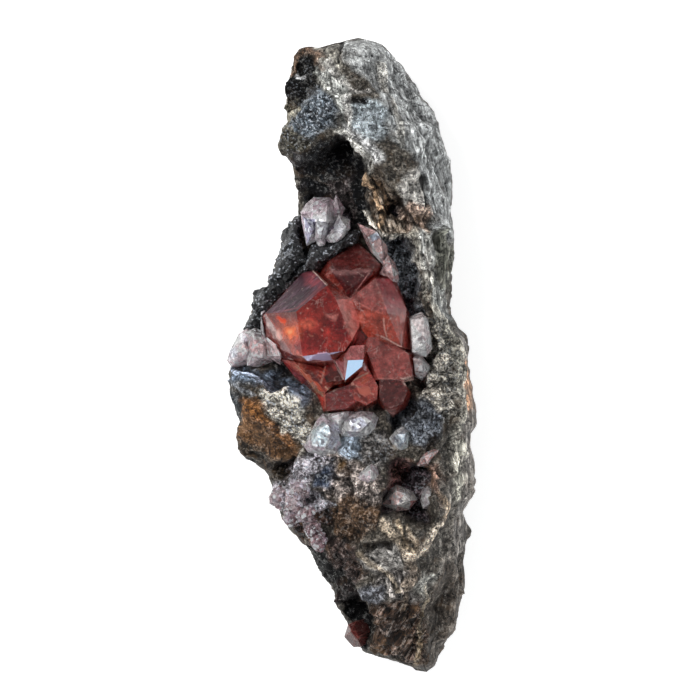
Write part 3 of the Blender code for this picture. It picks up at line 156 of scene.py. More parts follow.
# Lumps raised by a height, or lowered where it is negative: outline (across, along), height.
LUMPS = {
    "sparkling lump": ([(-9.5, 40.0), (-8.0, 42.4), (-6.5, 44.8), (-3.7, 45.1), (-2.6, 43.8),
        (-3.1, 41.4), (-4.4, 39.7), (-5.8, 37.3), (-8.8, 35.6), (-11.1, 35.6), (-11.2, 37.3)],
        1.6),
    "oval lump": ([(8.5, 31.5), (10.5, 32.4), (12.2, 31.2), (12.9, 28.1), (12.2, 24.7),
        (11.2, 21.7), (9.5, 22.4), (8.5, 25.6), (8.2, 29.0)], 1.4),
    "right blocks": ([(7.8, -10.6), (10.2, -8.9), (13.3, -9.6), (15.0, -11.8), (14.6, -14.4),
        (11.6, -15.4), (9.0, -14.4), (7.8, -12.7)], 1.6),
    "grey boss": ([(1.7, -34.1), (5.6, -32.7), (8.5, -33.4), (9.0, -36.1), (8.2, -38.2),
        (6.1, -38.8), (3.4, -37.5)], 1.5),
    "left shelf": ([(-20.0, -2.4), (-14.5, -2.6), (-9.4, -4.6), (-6.2, -8.6), (-8.8, -9.6),
        (-12.2, -7.4), (-19.0, -6.4)], 1.6),
    "left shoulder": ([(-9.0, 50.5), (-5.8, 53.4), (-1.8, 53.8), (-1.8, 48.8), (-3.7, 47.9),
        (-5.8, 49.6)], -1.6),
    "flank groove": ([(13.6, 21.7), (15.8, 21.3), (16.8, 17.9), (16.8, 13.7), (16.0, 11.1),
        (14.6, 12.8), (14.0, 17.1)], -1.8),
}


def smooth(value):
    """0 below 0, 1 above 1, the S curve 3v^2 - 2v^3 between."""
    value = np.clip(value, 0.0, 1.0)
    return value * value * (3.0 - 2.0 * value)


def unit(vectors):
    """The same directions with the length 1."""
    return vectors / np.maximum(np.linalg.norm(vectors, axis=-1, keepdims=True), 1e-9)


def follow(guide, along):
    """Points of a guide line at the stations `along`, both ends of the rock included.

    A cubic through the known points whose slope at each is the harmonic mean of the two
    chords beside it, or level where they point opposite ways, so that it never overshoots.
    """
    ends = [(end[1], end[0], end[2]) for end in (LOW_END, HIGH_END)]
    table = np.array([ends[0], *guide, ends[1]])
    known = table[:, 0]
    spot = np.clip(np.searchsorted(known, along) - 1, 0, len(known) - 2)
    width = known[spot + 1] - known[spot]
    t = (along - known[spot]) / width
    curves = []
    for heights in (table[:, 1], table[:, 2]):
        chord = np.diff(heights) / np.diff(known)
        before, after = chord[:-1], chord[1:]
        level = before * after <= 0
        mean = 2.0 * before * after / np.where(level, 1.0, before + after)
        slope = np.concatenate([chord[:1], np.where(level, 0.0, mean), chord[-1:]])
        curves.append((2 * t**3 - 3 * t**2 + 1) * heights[spot]
                      + (t**3 - 2 * t**2 + t) * width * slope[spot]
                      + (3 * t**2 - 2 * t**3) * heights[spot + 1]
                      + (t**3 - t**2) * width * slope[spot + 1])
    return np.stack([curves[0], along, curves[1]], axis=-1)


def lattice_value(i, j, k, seed):
    """A repeatable value from 0 to 1 for each whole-numbered lattice point."""
    mixed = (i * 374761393 + j * 668265263 + k * 1442695041 + seed * 974634777) & 0xFFFFFFFF
    mixed = ((mixed ^ (mixed >> 13)) * 1274126177) & 0xFFFFFFFF
    return ((mixed ^ (mixed >> 16)) & 0xFFFFFFFF) / 4294967295.0


def swell(points, size, seed):
    """Soft noise from -1 to 1: lattice values blended with S curves."""
    place = points / size
    cell = np.floor(place).astype(np.int64)
    part = smooth(place - cell)
    total = np.zeros(points.shape[:-1])
    for corner in range(8):
        step = np.array([corner & 1, corner >> 1 & 1, corner >> 2 & 1])
        weight = np.prod(np.where(step == 1, part, 1.0 - part), axis=-1)
        spot = cell + step
        total += weight * lattice_value(spot[..., 0], spot[..., 1], spot[..., 2], seed)
    return 2.0 * total - 1.0


def chips(points, size, seed, keenness):
    """Broken faces, about -1 to 1: tilted planes round jittered seeds.

    Each plane weighs exp(-keenness * squared distance to its seed), so that neighbouring
    planes run into each other over a short slope, and over a shorter one when it is keener.
    """
    place = points / size
    cell = np.floor(place).astype(np.int64)
    total = np.zeros(points.shape[:-1])
    weights = np.full(points.shape[:-1], 1e-12)
    for i in (-1, 0, 1):
        for j in (-1, 0, 1):
            for k in (-1, 0, 1):
                spot = cell + np.array([i, j, k])
                jitter = [lattice_value(spot[..., 0], spot[..., 1], spot[..., 2], seed + n)
                          for n in range(7)]
                away = place - spot - np.stack(jitter[:3], axis=-1)
                tilt = 2.0 * np.stack(jitter[3:6], axis=-1) - 1.0
                plane = np.sum(away * tilt, axis=-1) + CHIP_OFFSET * (jitter[6] - 0.5)
                weight = np.exp(-keenness * np.sum(away * away, axis=-1))
                total += weight * plane
                weights += weight
    return total / weights


def beside(points, path):
    """Distance in plan from a line of straight stretches, which is that from the nearest."""
    across, along = points[..., 0], points[..., 1]
    nearest = np.full(across.shape, 1e9)
    for (x0, y0), (x1, y1) in zip(path, path[1:]):
        run_x, run_y = x1 - x0, y1 - y0
        t = ((across - x0) * run_x + (along - y0) * run_y) / (run_x**2 + run_y**2)
        t = np.clip(t, 0.0, 1.0)
        nearest = np.minimum(nearest, np.hypot(across - x0 - t * run_x, along - y0 - t * run_y))
    return nearest


def covered(points, outline, softness):
    """1 inside an outline in plan, 0 outside it, an S curve over softness at its edge.

    A point is inside where a line to its right crosses the outline an odd number of times.
    """
    across, along = points[..., 0], points[..., 1]
    within = np.zeros(across.shape, bool)
    closed = [*outline, outline[0]]
    for (x0, y0), (x1, y1) in zip(closed, closed[1:]):
        if y1 != y0:
            crossing = x0 + (along - y0) / (y1 - y0) * (x1 - x0)
            within ^= ((y0 > along) != (y1 > along)) & (across < crossing)
    nearest = beside(points, closed)
    return smooth(0.5 + np.where(within, nearest, -nearest) / softness)


def evened(line, reach):
    """A line of values with its small waves taken out (mean of the neighbours in reach)."""
    padded = np.pad(line, reach, mode="edge")
    return np.convolve(padded, np.ones(2 * reach + 1) / (2 * reach + 1), "valid")


def skin_grid(rows, spans):
    """Grid of points on the rock's skin: rows along it, columns round it, in millimetres.

    Between two guides the skin is the Catmull-Rom curve through them and their neighbours.
    """
    turn = np.linspace(0.0, math.pi, rows + 2)[1:-1]
    middle = 0.5 * (LOW_END[1] + HIGH_END[1])
    half = 0.5 * (HIGH_END[1] - LOW_END[1])
    even = np.linspace(-1.0, 1.0, rows + 2)[1:-1]
    along = middle + half * ((1.0 - END_CROWDING) * even - END_CROWDING * np.cos(turn))
    left, right = follow(LEFT_SIDE, along), follow(RIGHT_SIDE, along)
    floor = FOOT_DEPTH + FOOT_RISE * np.maximum(np.abs(along - middle) - FOOT_TAPER, 0.0)
    floor = np.minimum(floor, FOOT_HEIGHT_SHARE * np.minimum(left[:, 2], right[:, 2]))
    reach = rows // FOOT_EVENING
    left_edge, right_edge = evened(left[:, 0], reach), evened(right[:, 0], reach)
    most = FOOT_INSET_SHARE * (right_edge - left_edge)
    foot_left = np.stack([left_edge + np.minimum(FOOT_INSET_LEFT, most), along, floor], -1)
    foot_right = np.stack([right_edge - np.minimum(FOOT_INSET_RIGHT, most), along, floor], -1)
    guides = [foot_left, left, follow(LEFT_RIM, along), follow(FRONT_LEFT, along),
              follow(CREST, along), follow(FRONT_RIGHT, along), follow(RIDGE, along),
              right, foot_right, 0.5 * (foot_left + foot_right)]
    strips = []
    count = len(guides)
    for number, steps in enumerate(spans):
        before, start, end, after = [guides[(number + n) % count] for n in (-1, 0, 1, 2)]
        for t in np.arange(steps) / steps:
            strips.append(0.5 * (2.0 * start + (end - before) * t
                                 + (2.0 * before - 5.0 * start + 4.0 * end - after) * t**2
                                 + (3.0 * start - before - 3.0 * end + after) * t**3))
    return np.stack(strips, axis=1)


def grid_normals(grid):
    """Outward direction at each grid point, from its neighbours along and round."""
    round_it = np.roll(grid, -1, axis=1) - np.roll(grid, 1, axis=1)
    return unit(np.cross(round_it, np.gradient(grid, axis=0)))


def blurred(field, reach):
    """Mean of a field over a square of grid points, run on round the rock."""
    for axis, mode in ((0, "edge"), (1, "wrap")):
        widths = [(0, 0)] * field.ndim
        widths[axis] = (reach + 1, reach)
        total = np.cumsum(np.pad(field, widths, mode=mode), axis=axis)
        size = 2 * reach + 1
        upper = np.take(total, np.arange(size, total.shape[axis]), axis=axis)
        lower = np.take(total, np.arange(0, total.shape[axis] - size), axis=axis)
        field = (upper - lower) / size
    return field


# What the rock is made of, with painted shade and light among it, laid on in this order:
# outline (across, along), colour out of 255, then sparkle, fibre, the fibres' bearing in
# degrees, and ruggedness. The colours were fitted by a program, so that each area of the
# finished stone comes out as the real one looks. Painted shade makes the hollows, the cavity
# and the holes darker, and painted light makes a few shaded areas paler.
PATCHES = {
    "grey upper flank": ([(-1.9, 54.1), (3.9, 54.1), (8.5, 50.6), (11.9, 44.3), (15.0, 38.3),
        (17.3, 32.4), (18.0, 19.6), (14.3, 19.6), (13.3, 25.6), (11.6, 32.4), (7.8, 34.9),
        (4.4, 40.0), (3.4, 45.1), (-1.2, 49.2)], (188, 190, 190), 0.35, 0.6, 104, 0.38),
    "brown crown": ([(-6.8, 52.3), (-1.9, 53.0), (-1.9, 45.1), (-4.4, 44.8), (-4.1, 48.5),
        (-5.8, 50.9)], (176, 172, 162), 0.1, 0.6, 100, 0.7),
    "cream band by the hollow": ([(-5.8, 50.6), (-3.7, 49.2), (-1.2, 46.8), (-0.3, 42.6),
        (-1.2, 38.0), (-2.7, 38.7), (-3.1, 44.1), (-4.1, 46.2)], (190, 192, 188), 0.2, 0.7, 105,
        0.85),
    "rusty edge": ([(-10.6, 47.8), (-9.2, 51.5), (-6.8, 52.3), (-5.2, 50.6), (-3.9, 48.5),
        (-5.1, 48.5), (-6.8, 50.7), (-8.5, 50.0), (-9.3, 48.2)], (150, 122, 102), 0.1, 0.5, 50,
        0.8),
    # painted shade: the hollow is painted near black
    "hollow": ([(-9.4, 48.5), (-8.5, 50.4), (-6.8, 50.7), (-4.4, 48.4), (-4.6, 46.8), (-4.0, 45.5),
        (-5.8, 45.3), (-7.5, 43.8), (-8.4, 41.8), (-10.2, 42.4), (-10.8, 47.7)], (20, 20, 22), 0.5,
        0.0, 90, 1.0),
    "brown lip of the hollow": ([(-10.9, 44.0), (-9.6, 43.4), (-8.8, 41.0), (-10.2, 38.8),
        (-11.2, 40.5)], (164, 158, 142), 0.3, 0.2, 90, 0.8),
    "sparkling lump": ([(-8.4, 42.1), (-6.5, 44.5), (-4.4, 45.5), (-2.6, 43.8), (-2.4, 41.4),
        (-4.4, 38.7), (-6.5, 36.6), (-8.8, 37.9), (-10.3, 39.6)], (98, 108, 118), 1.0, 0.0, 90,
        0.9),
    "olive foot of the lump": ([(-10.1, 39.7), (-8.5, 38.0), (-6.5, 36.6), (-7.8, 34.5),
        (-10.2, 34.2), (-11.8, 36.3), (-11.4, 38.3)], (84, 80, 68), 0.6, 0.0, 90, 1.0),
    "blue-grey ore": ([(0.0, 42.4), (3.4, 42.8), (5.8, 41.4), (6.1, 38.3), (4.4, 36.3),
        (1.0, 37.3)], (172, 182, 188), 0.7, 0.2, 90, 0.5),
    "cream ledge": ([(-3.1, 39.3), (-0.3, 38.6), (3.6, 36.0), (4.8, 33.4), (3.1, 32.2),
        (1.0, 35.3), (-1.0, 36.6), (-3.1, 37.2)], (250, 250, 250), 0.3, 0.8, 145, 0.7),
    # the cavity's black ore, painted darker still as painted shade
    "cavity": ([(-4.1, 37.0), (-0.9, 36.5), (1.0, 34.9), (2.7, 32.4), (3.6, 29.0), (3.7, 25.6),
        (3.4, 22.2), (0.0, 21.0), (-3.7, 22.2), (-8.5, 26.0), (-9.4, 33.2), (-7.8, 35.0)],
        (8, 12, 18), 0.15, 0.2, 110, 1.0),
    "cavity left wall": ([(-10.4, 34.9), (-8.2, 34.7), (-6.8, 33.2), (-7.8, 30.7), (-9.4, 27.5),
        (-10.2, 32.4)], (40, 38, 42), 0.2, 0.2, 90, 1.0),
    # painted shade: the cavity floor is painted darker
    "cavity floor": ([(-4.1, 29.5), (-0.3, 30.2), (1.2, 27.3), (0.8, 22.7), (-1.2, 21.0),
        (-4.4, 22.7), (-5.1, 26.4)], (72, 64, 64), 0.2, 0.3, 100, 1.0),
    "fibrous brown": ([(3.4, 32.6), (4.6, 32.2), (5.8, 29.8), (7.5, 27.3), (9.0, 23.6),
        (11.2, 20.5), (8.2, 20.1), (5.4, 21.5), (4.1, 22.7)], (130, 116, 102), 0.1, 1.0, 107, 1.0),
    # painted shade: the core of the cleft is painted near black
    "painted shade of the cleft core": ([(5.3, 26.1), (7.8, 26.4), (9.0, 24.4), (8.5, 22.7), (6.5, 23.2)], (32, 24, 34),
        0.1, 0.3, 107, 1.0),
    "oval lump": ([(8.3, 29.8), (9.9, 31.7), (11.6, 31.4), (12.7, 29.0), (12.2, 25.6),
        (10.5, 24.3), (8.6, 26.2)], (202, 198, 192), 0.4, 0.4, 95, 0.6),
    "rusty tip": ([(8.5, 25.6), (10.5, 25.1), (12.6, 26.4), (13.6, 24.4), (11.6, 21.0),
        (9.5, 20.1), (8.4, 22.7)], (180, 156, 140), 0.1, 0.4, 100, 1.0),
    "band right of the cavity": ([(11.2, 21.4), (14.3, 22.0), (15.0, 16.2), (16.0, 9.4),
        (17.0, 5.7), (15.0, 4.3), (12.9, 9.4), (11.6, 14.5)], (182, 184, 182), 0.2, 0.9, 98, 0.7),
    "groove": ([(14.6, 22.2), (17.0, 21.7), (17.7, 15.9), (16.7, 11.1), (15.0, 11.1),
        (14.3, 16.2)], (112, 112, 102), 0.1, 0.8, 92, 0.5),
    # painted light: the right pocket is painted paler to lift the shade in it
    "right pocket": ([(6.0, 21.0), (8.5, 19.6), (10.9, 17.6), (11.8, 12.8), (11.3, 9.4),
        (12.4, 7.2), (11.2, 6.0), (8.5, 7.4), (6.8, 11.8), (6.1, 16.2)], (114, 120, 128), 0.8, 0.0,
        90, 1.1),
    "pitted": ([(12.9, 6.7), (16.3, 6.0), (17.3, 0.9), (17.7, -7.6), (16.0, -11.6), (13.3, -11.0),
        (12.2, -5.9), (13.0, -0.8)], (160, 154, 144), 0.5, 0.0, 90, 1.3),
    "right blocks": ([(7.8, -9.6), (10.2, -7.9), (13.3, -8.2), (15.0, -10.1), (14.6, -13.7),
        (12.2, -15.4), (8.8, -14.4)], (102, 108, 118), 0.5, 0.0, 90, 1.2),
    "slot": ([(6.3, -10.6), (8.8, -8.6), (10.5, -7.0), (10.9, -8.2), (9.2, -10.3), (7.5, -12.3)],
        (82, 86, 94), 0.1, 0.0, 90, 1.0),
    # painted shade: the hole is painted near black
    "hole beside the blocks": ([(12.9, -13.2), (14.6, -13.0), (14.9, -15.2), (13.1, -15.6)],
        (14, 10, 14), 0.2, 0.0, 90, 1.0),
    "smooth right flank": ([(17.3, 5.0), (20.4, 5.0), (22.0, -2.5), (22.0, -34.8), (17.0, -34.8),
        (17.9, -24.6), (18.0, -12.7)], (144, 138, 132), 0.15, 0.8, 91, 0.35),
    # a real stain, painted paler as painted light on the shaded flank
    "orange stain": ([(18.4, -0.8), (19.7, -0.8), (20.6, -5.0), (20.3, -9.3), (18.7, -8.9)],
        (234, 182, 144), 0.1, 0.6, 91, 0.4),
    "cream flank band": ([(17.7, -14.4), (18.9, -14.4), (19.1, -21.2), (18.2, -24.6),
        (17.2, -24.2)], (244, 240, 224), 0.1, 0.9, 91, 0.4),
    "vug": ([(6.1, -19.8), (7.3, -18.3), (10.0, -18.8), (12.2, -18.5), (13.1, -19.7),
        (13.1, -22.2), (12.4, -24.2), (12.7, -26.6), (13.1, -28.1), (11.6, -28.6), (8.5, -27.8),
        (5.4, -26.4), (4.6, -25.4), (6.1, -23.2)], (94, 82, 90), 0.7, 0.0, 90, 1.0),
    "red wall of the vug": ([(5.8, -20.8), (7.5, -18.1), (10.2, -18.4), (9.5, -20.6), (7.5, -22.3),
        (5.8, -22.9)], (152, 108, 106), 0.4, 0.0, 90, 1.2),
    "rust by the vug": ([(12.9, -18.4), (14.3, -18.8), (15.0, -22.2), (14.3, -24.6),
        (13.3, -22.9)], (154, 122, 106), 0.1, 0.2, 90, 1.0),
    "grey right strip": ([(14.3, -21.2), (17.0, -22.9), (17.0, -34.8), (15.0, -41.6),
        (13.6, -48.4), (12.2, -41.6), (14.3, -31.4)], (140, 134, 126), 0.15, 0.5, 84, 0.5),
    "bluish ledge": ([(-21.4, -1.4), (-17.3, -1.9), (-13.1, -2.6), (-8.8, -4.6), (-6.6, -8.2),
        (-8.8, -9.9), (-12.2, -6.9), (-16.0, -5.3), (-20.7, -4.8)], (100, 114, 132), 0.3, 1.0, 155,
        0.4),
    "cream sparkling slope": ([(-15.3, -6.2), (-12.2, -5.9), (-8.8, -8.2), (-7.5, -11.8),
        (-7.8, -16.1), (-9.9, -16.4), (-11.6, -12.7), (-15.3, -8.2)], (210, 204, 192), 0.8, 0.0,
        90, 1.1),
    "orange face": ([(-19.0, -7.6), (-15.3, -7.9), (-11.6, -13.0), (-10.2, -16.4), (-12.2, -18.1),
        (-15.3, -14.4), (-17.7, -11.6)], (120, 86, 56), 0.2, 0.2, 60, 0.45),
    "brown face": ([(-18.6, -11.0), (-15.3, -14.4), (-12.2, -18.1), (-10.5, -19.5), (-11.6, -22.2),
        (-13.9, -21.2), (-17.4, -15.7)], (54, 42, 28), 0.3, 0.0, 90, 0.8),
    "left dark edge": ([(-21.6, -4.2), (-19.0, -6.9), (-18.4, -12.7), (-15.6, -19.5),
        (-17.4, -18.1), (-20.4, -11.0)], (38, 46, 54), 0.4, 0.0, 90, 0.9),
    "dark seam": ([(-11.4, -17.4), (-9.2, -17.1), (-8.8, -19.5), (-10.9, -22.9), (-12.6, -22.7)],
        (36, 20, 18), 0.5, 0.0, 90, 1.0),
    "brown middle": ([(-4.8, -14.5), (0.0, -18.5), (3.9, -18.5), (5.6, -24.6), (3.1, -25.4),
        (-2.2, -24.9), (-5.4, -22.0)], (160, 148, 142), 0.3, 0.0, 90, 1.2),
    "blue-grey lumps": ([(-2.4, -13.7), (0.0, -13.1), (2.2, -14.4), (1.9, -17.4), (-0.7, -18.1),
        (-2.6, -16.4)], (166, 180, 196), 0.3, 0.3, 20, 0.4),
    "dark middle": ([(1.9, -13.8), (5.8, -12.8), (7.4, -17.0), (4.8, -19.5), (1.7, -18.1)],
        (114, 110, 108), 0.5, 0.0, 90, 1.2),
    "ochre spot": ([(-3.1, -17.7), (-1.4, -17.9), (-1.0, -19.7), (-2.9, -19.8)], (90, 68, 36), 0.2,
        0.0, 90, 1.0),
    "dark blue patch": ([(-6.1, -19.1), (-4.1, -18.8), (-3.1, -20.5), (-3.7, -22.2),
        (-5.8, -21.5)], (68, 78, 98), 0.6, 0.0, 90, 0.6),
    "sparkling lilac": ([(-9.4, -17.1), (-5.4, -16.5), (-3.4, -18.1), (-6.1, -19.5), (-6.8, -21.5),
        (-9.2, -22.6), (-10.1, -19.8)], (178, 172, 180), 1.0, 0.0, 90, 1.1),
    "lilac druse": ([(-13.8, -22.5), (-9.5, -21.6), (-5.8, -22.8), (-3.4, -24.9), (-6.5, -26.9),
        (-9.5, -27.5), (-12.5, -25.9)], (164, 158, 166), 0.9, 0.0, 90, 1.0),
    "purple brown": ([(-11.0, -26.9), (-6.5, -26.3), (-3.1, -25.6), (-2.7, -28.6), (-5.8, -30.0),
        (-8.8, -29.5)], (54, 32, 24), 0.5, 0.0, 90, 1.1),
    "pink grains": ([(-8.8, -29.1), (-5.8, -29.3), (-5.1, -32.0), (-6.5, -33.6), (-8.2, -31.7)],
        (72, 38, 26), 0.5, 0.0, 90, 0.9),
    "olive rough": ([(-3.6, -24.7), (0.0, -23.5), (4.2, -24.7), (5.0, -28.0), (1.7, -30.7),
        (-2.0, -31.4), (-3.6, -28.3)], (94, 72, 54), 0.3, 0.2, 60, 1.3),
    "dark lower left": ([(-8.6, -33.0), (-5.2, -31.9), (-3.0, -32.7), (-1.2, -37.3), (-2.0, -41.6),
        (-5.4, -38.6)], (6, 6, 6), 0.3, 0.2, 120, 1.1),
    "brown lower left": ([(-4.4, -30.5), (1.4, -31.6), (2.4, -38.2), (-0.3, -39.5), (-2.4, -35.6)],
        (76, 62, 58), 0.3, 0.2, 120, 1.2),
    "reddish band": ([(-4.2, -38.8), (-1.2, -38.2), (1.7, -40.2), (1.6, -42.1), (-2.2, -41.9)],
        (22, 6, 6), 0.2, 0.2, 160, 1.0),
    "grey boss": ([(1.2, -34.1), (4.4, -32.2), (8.4, -33.1), (9.0, -35.8), (5.8, -37.3),
        (2.4, -36.8)], (168, 164, 160), 0.3, 0.4, 150, 0.6),
    "dark lower middle": ([(4.0, -37.4), (9.0, -36.4), (10.7, -41.6), (8.2, -42.4), (5.6, -39.9)],
        (144, 138, 134), 0.1, 0.8, 100, 1.1),
    "bluish blob": ([(1.8, -39.9), (4.1, -38.8), (6.3, -39.9), (5.8, -42.1), (2.9, -42.1)],
        (114, 116, 124), 0.6, 0.0, 90, 0.7),
    "fibrous foot": ([(3.5, -42.3), (7.3, -41.6), (10.7, -41.6), (12.8, -45.8), (12.8, -53.0),
        (8.2, -52.6), (4.0, -51.1), (3.5, -46.7)], (76, 56, 44), 0.1, 1.0, 58, 1.1),
    # painted shade: the foot hollow is painted near black
    "foot hollow": ([(-1.4, -41.6), (1.0, -41.4), (2.9, -43.6), (3.2, -47.5), (3.5, -51.0),
        (1.9, -50.8), (0.5, -48.7), (-0.5, -45.1)], (6, 6, 10), 0.3, 0.0, 90, 0.8),
    "swirl": ([(10.5, -37.1), (13.3, -36.8), (14.3, -39.2), (12.9, -41.2), (10.9, -40.5)],
        (212, 210, 202), 0.1, 0.3, 30, 0.8),
    "lower right flank": ([(12.4, -41.6), (15.8, -34.8), (21.1, -34.8), (20.4, -43.3),
        (17.7, -49.4), (13.3, -54.8), (12.4, -51.8)], (94, 86, 78), 0.15, 0.5, 80, 0.45),
    # painted light: pale paint under the top quartz lifts the shade in the gaps between its
    # crystals
    "painted light under the top quartz": ([(-7.6, 23.8), (-1.0, 23.8), (-1.2, 20.8), (-3.2, 19.2),
        (-6.8, 19.6)], (214, 204, 222), 0.6, 0.0, 90, 0.6),
    # painted shade: the rock under the quartz is painted dark
    "painted shade under the quartz": ([(-14.2, -1.2), (-11.4, -1.4), (-10.6, -3.6), (-12.2, -3.6)],
        (22, 18, 22), 0.1, 0.0, 90, 0.6),
    "bed of the red crystals": ([(-10.5, 9.0), (-4.0, 13.0), (3.8, 13.0), (8.5, 9.5), (9.0, -3.0),
        (6.5, -8.5), (0.0, -8.8), (-5.5, -7.5), (-10.5, -1.5)], (202, 148, 140), 0.2, 0.0, 90,
        0.6),
}
PATCH_EDGE = 1.1            # how softly each of them ends
PATCH_WANDER = 0.9          # how far their edges wander
UNDERLAY = (92, 86, 78)     # the plain ore between those, with its sparkle, fibre and ruggedness
UNDERLAY_TRAITS = (0.12, 0.15, 0.5)
LIGHT_FALLING = 1.15        # on an open level surface, where 1 shows white paper as white

# Seams, streaks, cracks and ribs, with two painted highlights on the bluish ledge: path
# (across, along), half width, height, colour, and how fully the colour covers.
SEAMS = {
    "crack in the crown": ([(-1.8, 54.0), (-1.9, 51.6), (-2.2, 49.4)], 0.45, -1.6, (22, 20, 20),
        1.0),
    "notch": ([(0.0, 42.8), (0.9, 43.1), (2.0, 42.4)], 0.45, -1.1, (14, 12, 14), 1.0),
    "rib of the ledge": ([(-3.0, 38.0), (-0.8, 37.0), (1.2, 35.4), (2.9, 33.0), (3.9, 31.6)], 0.55,
        0.5, (222, 220, 212), 0.8),
    "rib of the upper flank": ([(4.6, 50.0), (6.4, 45.0), (7.2, 40.0), (7.8, 35.5)], 0.5, 0.45,
        (158, 152, 140), 0.5),
    "brown streak, crown": ([(-3.6, 49.6), (-1.8, 46.5), (0.2, 44.4), (2.4, 44.4)], 0.4, 0.2,
        (206, 202, 198), 0.6),
    "pale streak, crown": ([(-0.6, 44.0), (-0.3, 41.8), (0.2, 39.6), (-0.4, 38.0)], 0.45, 0.3,
        (232, 230, 226), 0.7),
    "hollow threads": ([(-8.9, 48.4), (-8.2, 47.2), (-6.6, 47.4)], 0.22, 0.3, (244, 244, 246),
        0.9),
    "cavity thread": ([(-9.0, 30.6), (-7.4, 31.1), (-5.8, 30.2), (-4.5, 29.2)], 0.3, 0.5,
        (52, 46, 40), 0.7),
    "outer fibre": ([(2.8, 30.6), (4.4, 27.8), (5.3, 24.6), (5.5, 22.4)], 0.42, 0.7,
        (184, 154, 124), 0.9),
    "second fibre": ([(4.2, 31.4), (5.6, 28.0), (6.2, 25.4)], 0.3, 0.5, (140, 112, 86), 0.8),
    "lower edge of the cleft": ([(2.8, 24.7), (4.1, 22.0), (6.8, 20.6), (10.1, 19.9)], 0.35, 0.4,
        (250, 244, 232), 1.0),
    "dark edge of the cleft": ([(7.2, 27.6), (8.4, 25.8), (9.4, 23.2), (10.6, 21.4)], 0.4, -0.6,
        (44, 36, 32), 0.9),
    "line right of the oval": ([(12.5, 30.6), (13.0, 28.2), (12.7, 26.0)], 0.45, -0.9, (12, 8, 6),
        1.0),
    "rib right of the pocket": ([(10.9, 20.4), (11.4, 17.0), (12.2, 13.4), (13.4, 9.0),
        (15.6, 5.4), (17.2, 1.0), (17.6, -3.4), (18.0, -9.3), (17.5, -13.5), (17.4, -19.5)], 0.7,
        0.4, (184, 180, 168), 0.6),
    "second rib": ([(12.8, 21.0), (13.2, 16.0), (14.4, 10.6), (16.2, 7.6)], 0.5, 0.3,
        (108, 102, 92), 0.5),
    "highlight of the bluish ledge": ([(-20.2, -2.6), (-17.4, -3.6), (-15.0, -5.2), (-11.8, -5.8)],
        0.4, 0.3, (170, 182, 202), 0.8),
    "lower highlight": ([(-20.4, -4.4), (-18.6, -6.0), (-16.4, -7.0)], 0.35, 0.3, (140, 146, 156),
        0.7),
    "orange edge": ([(-18.2, -7.9), (-16.3, -9.0), (-13.9, -11.6), (-11.4, -14.4), (-10.4, -16.6)],
        0.6, 0.3, (150, 98, 50), 0.7),
    "cream fork, left arm": ([(5.3, -28.0), (6.5, -29.9), (8.0, -32.1), (9.5, -33.9)], 0.55, 0.5,
        (184, 168, 148), 0.85),
    "cream fork, right arm": ([(14.5, -28.6), (12.6, -31.0), (10.8, -32.7), (9.3, -33.9)], 0.75,
        0.3, (240, 224, 204), 0.9),
    "cream fork, stem": ([(9.3, -33.9), (9.6, -37.0), (8.9, -41.0), (8.4, -45.0)], 0.5, 0.4,
        (136, 120, 104), 0.7),
    "thread of the fork": ([(7.4, -28.6), (8.6, -31.0), (9.6, -33.0)], 0.3, 0.3, (184, 164, 138),
        0.8),
    "second thread of the fork": ([(9.4, -29.2), (10.2, -31.4), (10.2, -33.2)], 0.3, 0.2,
        (190, 172, 150), 0.7),
    "cream lip of the vug": ([(14.4, -23.4), (15.2, -25.6), (15.0, -28.0)], 0.5, 0.3,
        (180, 156, 130), 0.7),
    "curl on the grey boss": ([(1.8, -33.2), (3.4, -35.6), (5.6, -36.8), (8.0, -39.2)], 0.4, 0.3,
        (176, 160, 138), 0.7),
    "foot column": ([(5.6, -49.6), (7.2, -46.6), (8.6, -43.6)], 0.5, 0.6, (40, 28, 22), 0.9),
    "second foot column": ([(8.0, -51.0), (9.6, -47.4), (10.6, -43.4)], 0.45, 0.5, (58, 42, 30),
        0.9),
    "foot rib": ([(11.0, -53.0), (11.8, -49.0), (12.2, -44.0), (12.0, -39.0)], 0.4, 0.4,
        (140, 124, 100), 0.6),
}


# The relief in millimetres, in layers: depth and size of each, the seed of its random draws,
# and for broken faces how keen their edges are.
MAIN_CHIPS = [(1.9, 8.0, 11, 16.0), (0.9, 4.5, 29, 16.0)]
MAIN_SWELL = (0.6, 9.0, 5)
FINE_CHIPS = [(0.95, 2.4, 41, 60.0), (0.48, 1.3, 53, 60.0)]
FINE_SWELL = (0.08, 0.6, 61)
FIBRE_SIZE = (0.55, 5.0, 1.6)       # of one fibre: across it, along it and up
FIBRE_DEPTH = 0.30
# How level the skin has to be for patches, and for lumps and hollows: none at the first number,
# all of them at the second more. 1 is level.
PATCHES_FROM, PATCHES_OVER = -0.15, 0.3
LUMPS_FROM, LUMPS_OVER = 0.1, 0.35
RELIEF_FROM, RELIEF_OVER = 1.0, 5.0     # the same for the relief, by the height in millimetres
END_FADE = 4.0              # and towards the two ends
STEEP = 0.45                # where the skin is steeper than this, the outline is kept:
MAIN_KEPT = 0.3             # share of the main relief on an upright side
FINE_KEPT = 0.35            # and of the fine relief
SEAM_REACH = 1.5            # a seam ends this many half widths from its middle
SEAM_WANDER = 0.35
SEAM_RELIEF = 0.8           # share of its height that a seam keeps
SEAM_RUGGED = 0.7
# Painted shade in the low spots and painted light on the high ones: how much the relief against
# its mean over near and over wider neighbours tells, and the limits of the two together.
NEAR_PAINTED_SHADING, WIDE_PAINTED_SHADING = (1.8, 2), (0.75, 7)
DARKEST, PALEST = -1.25, 0.65
FIBRE_TONE = 0.22


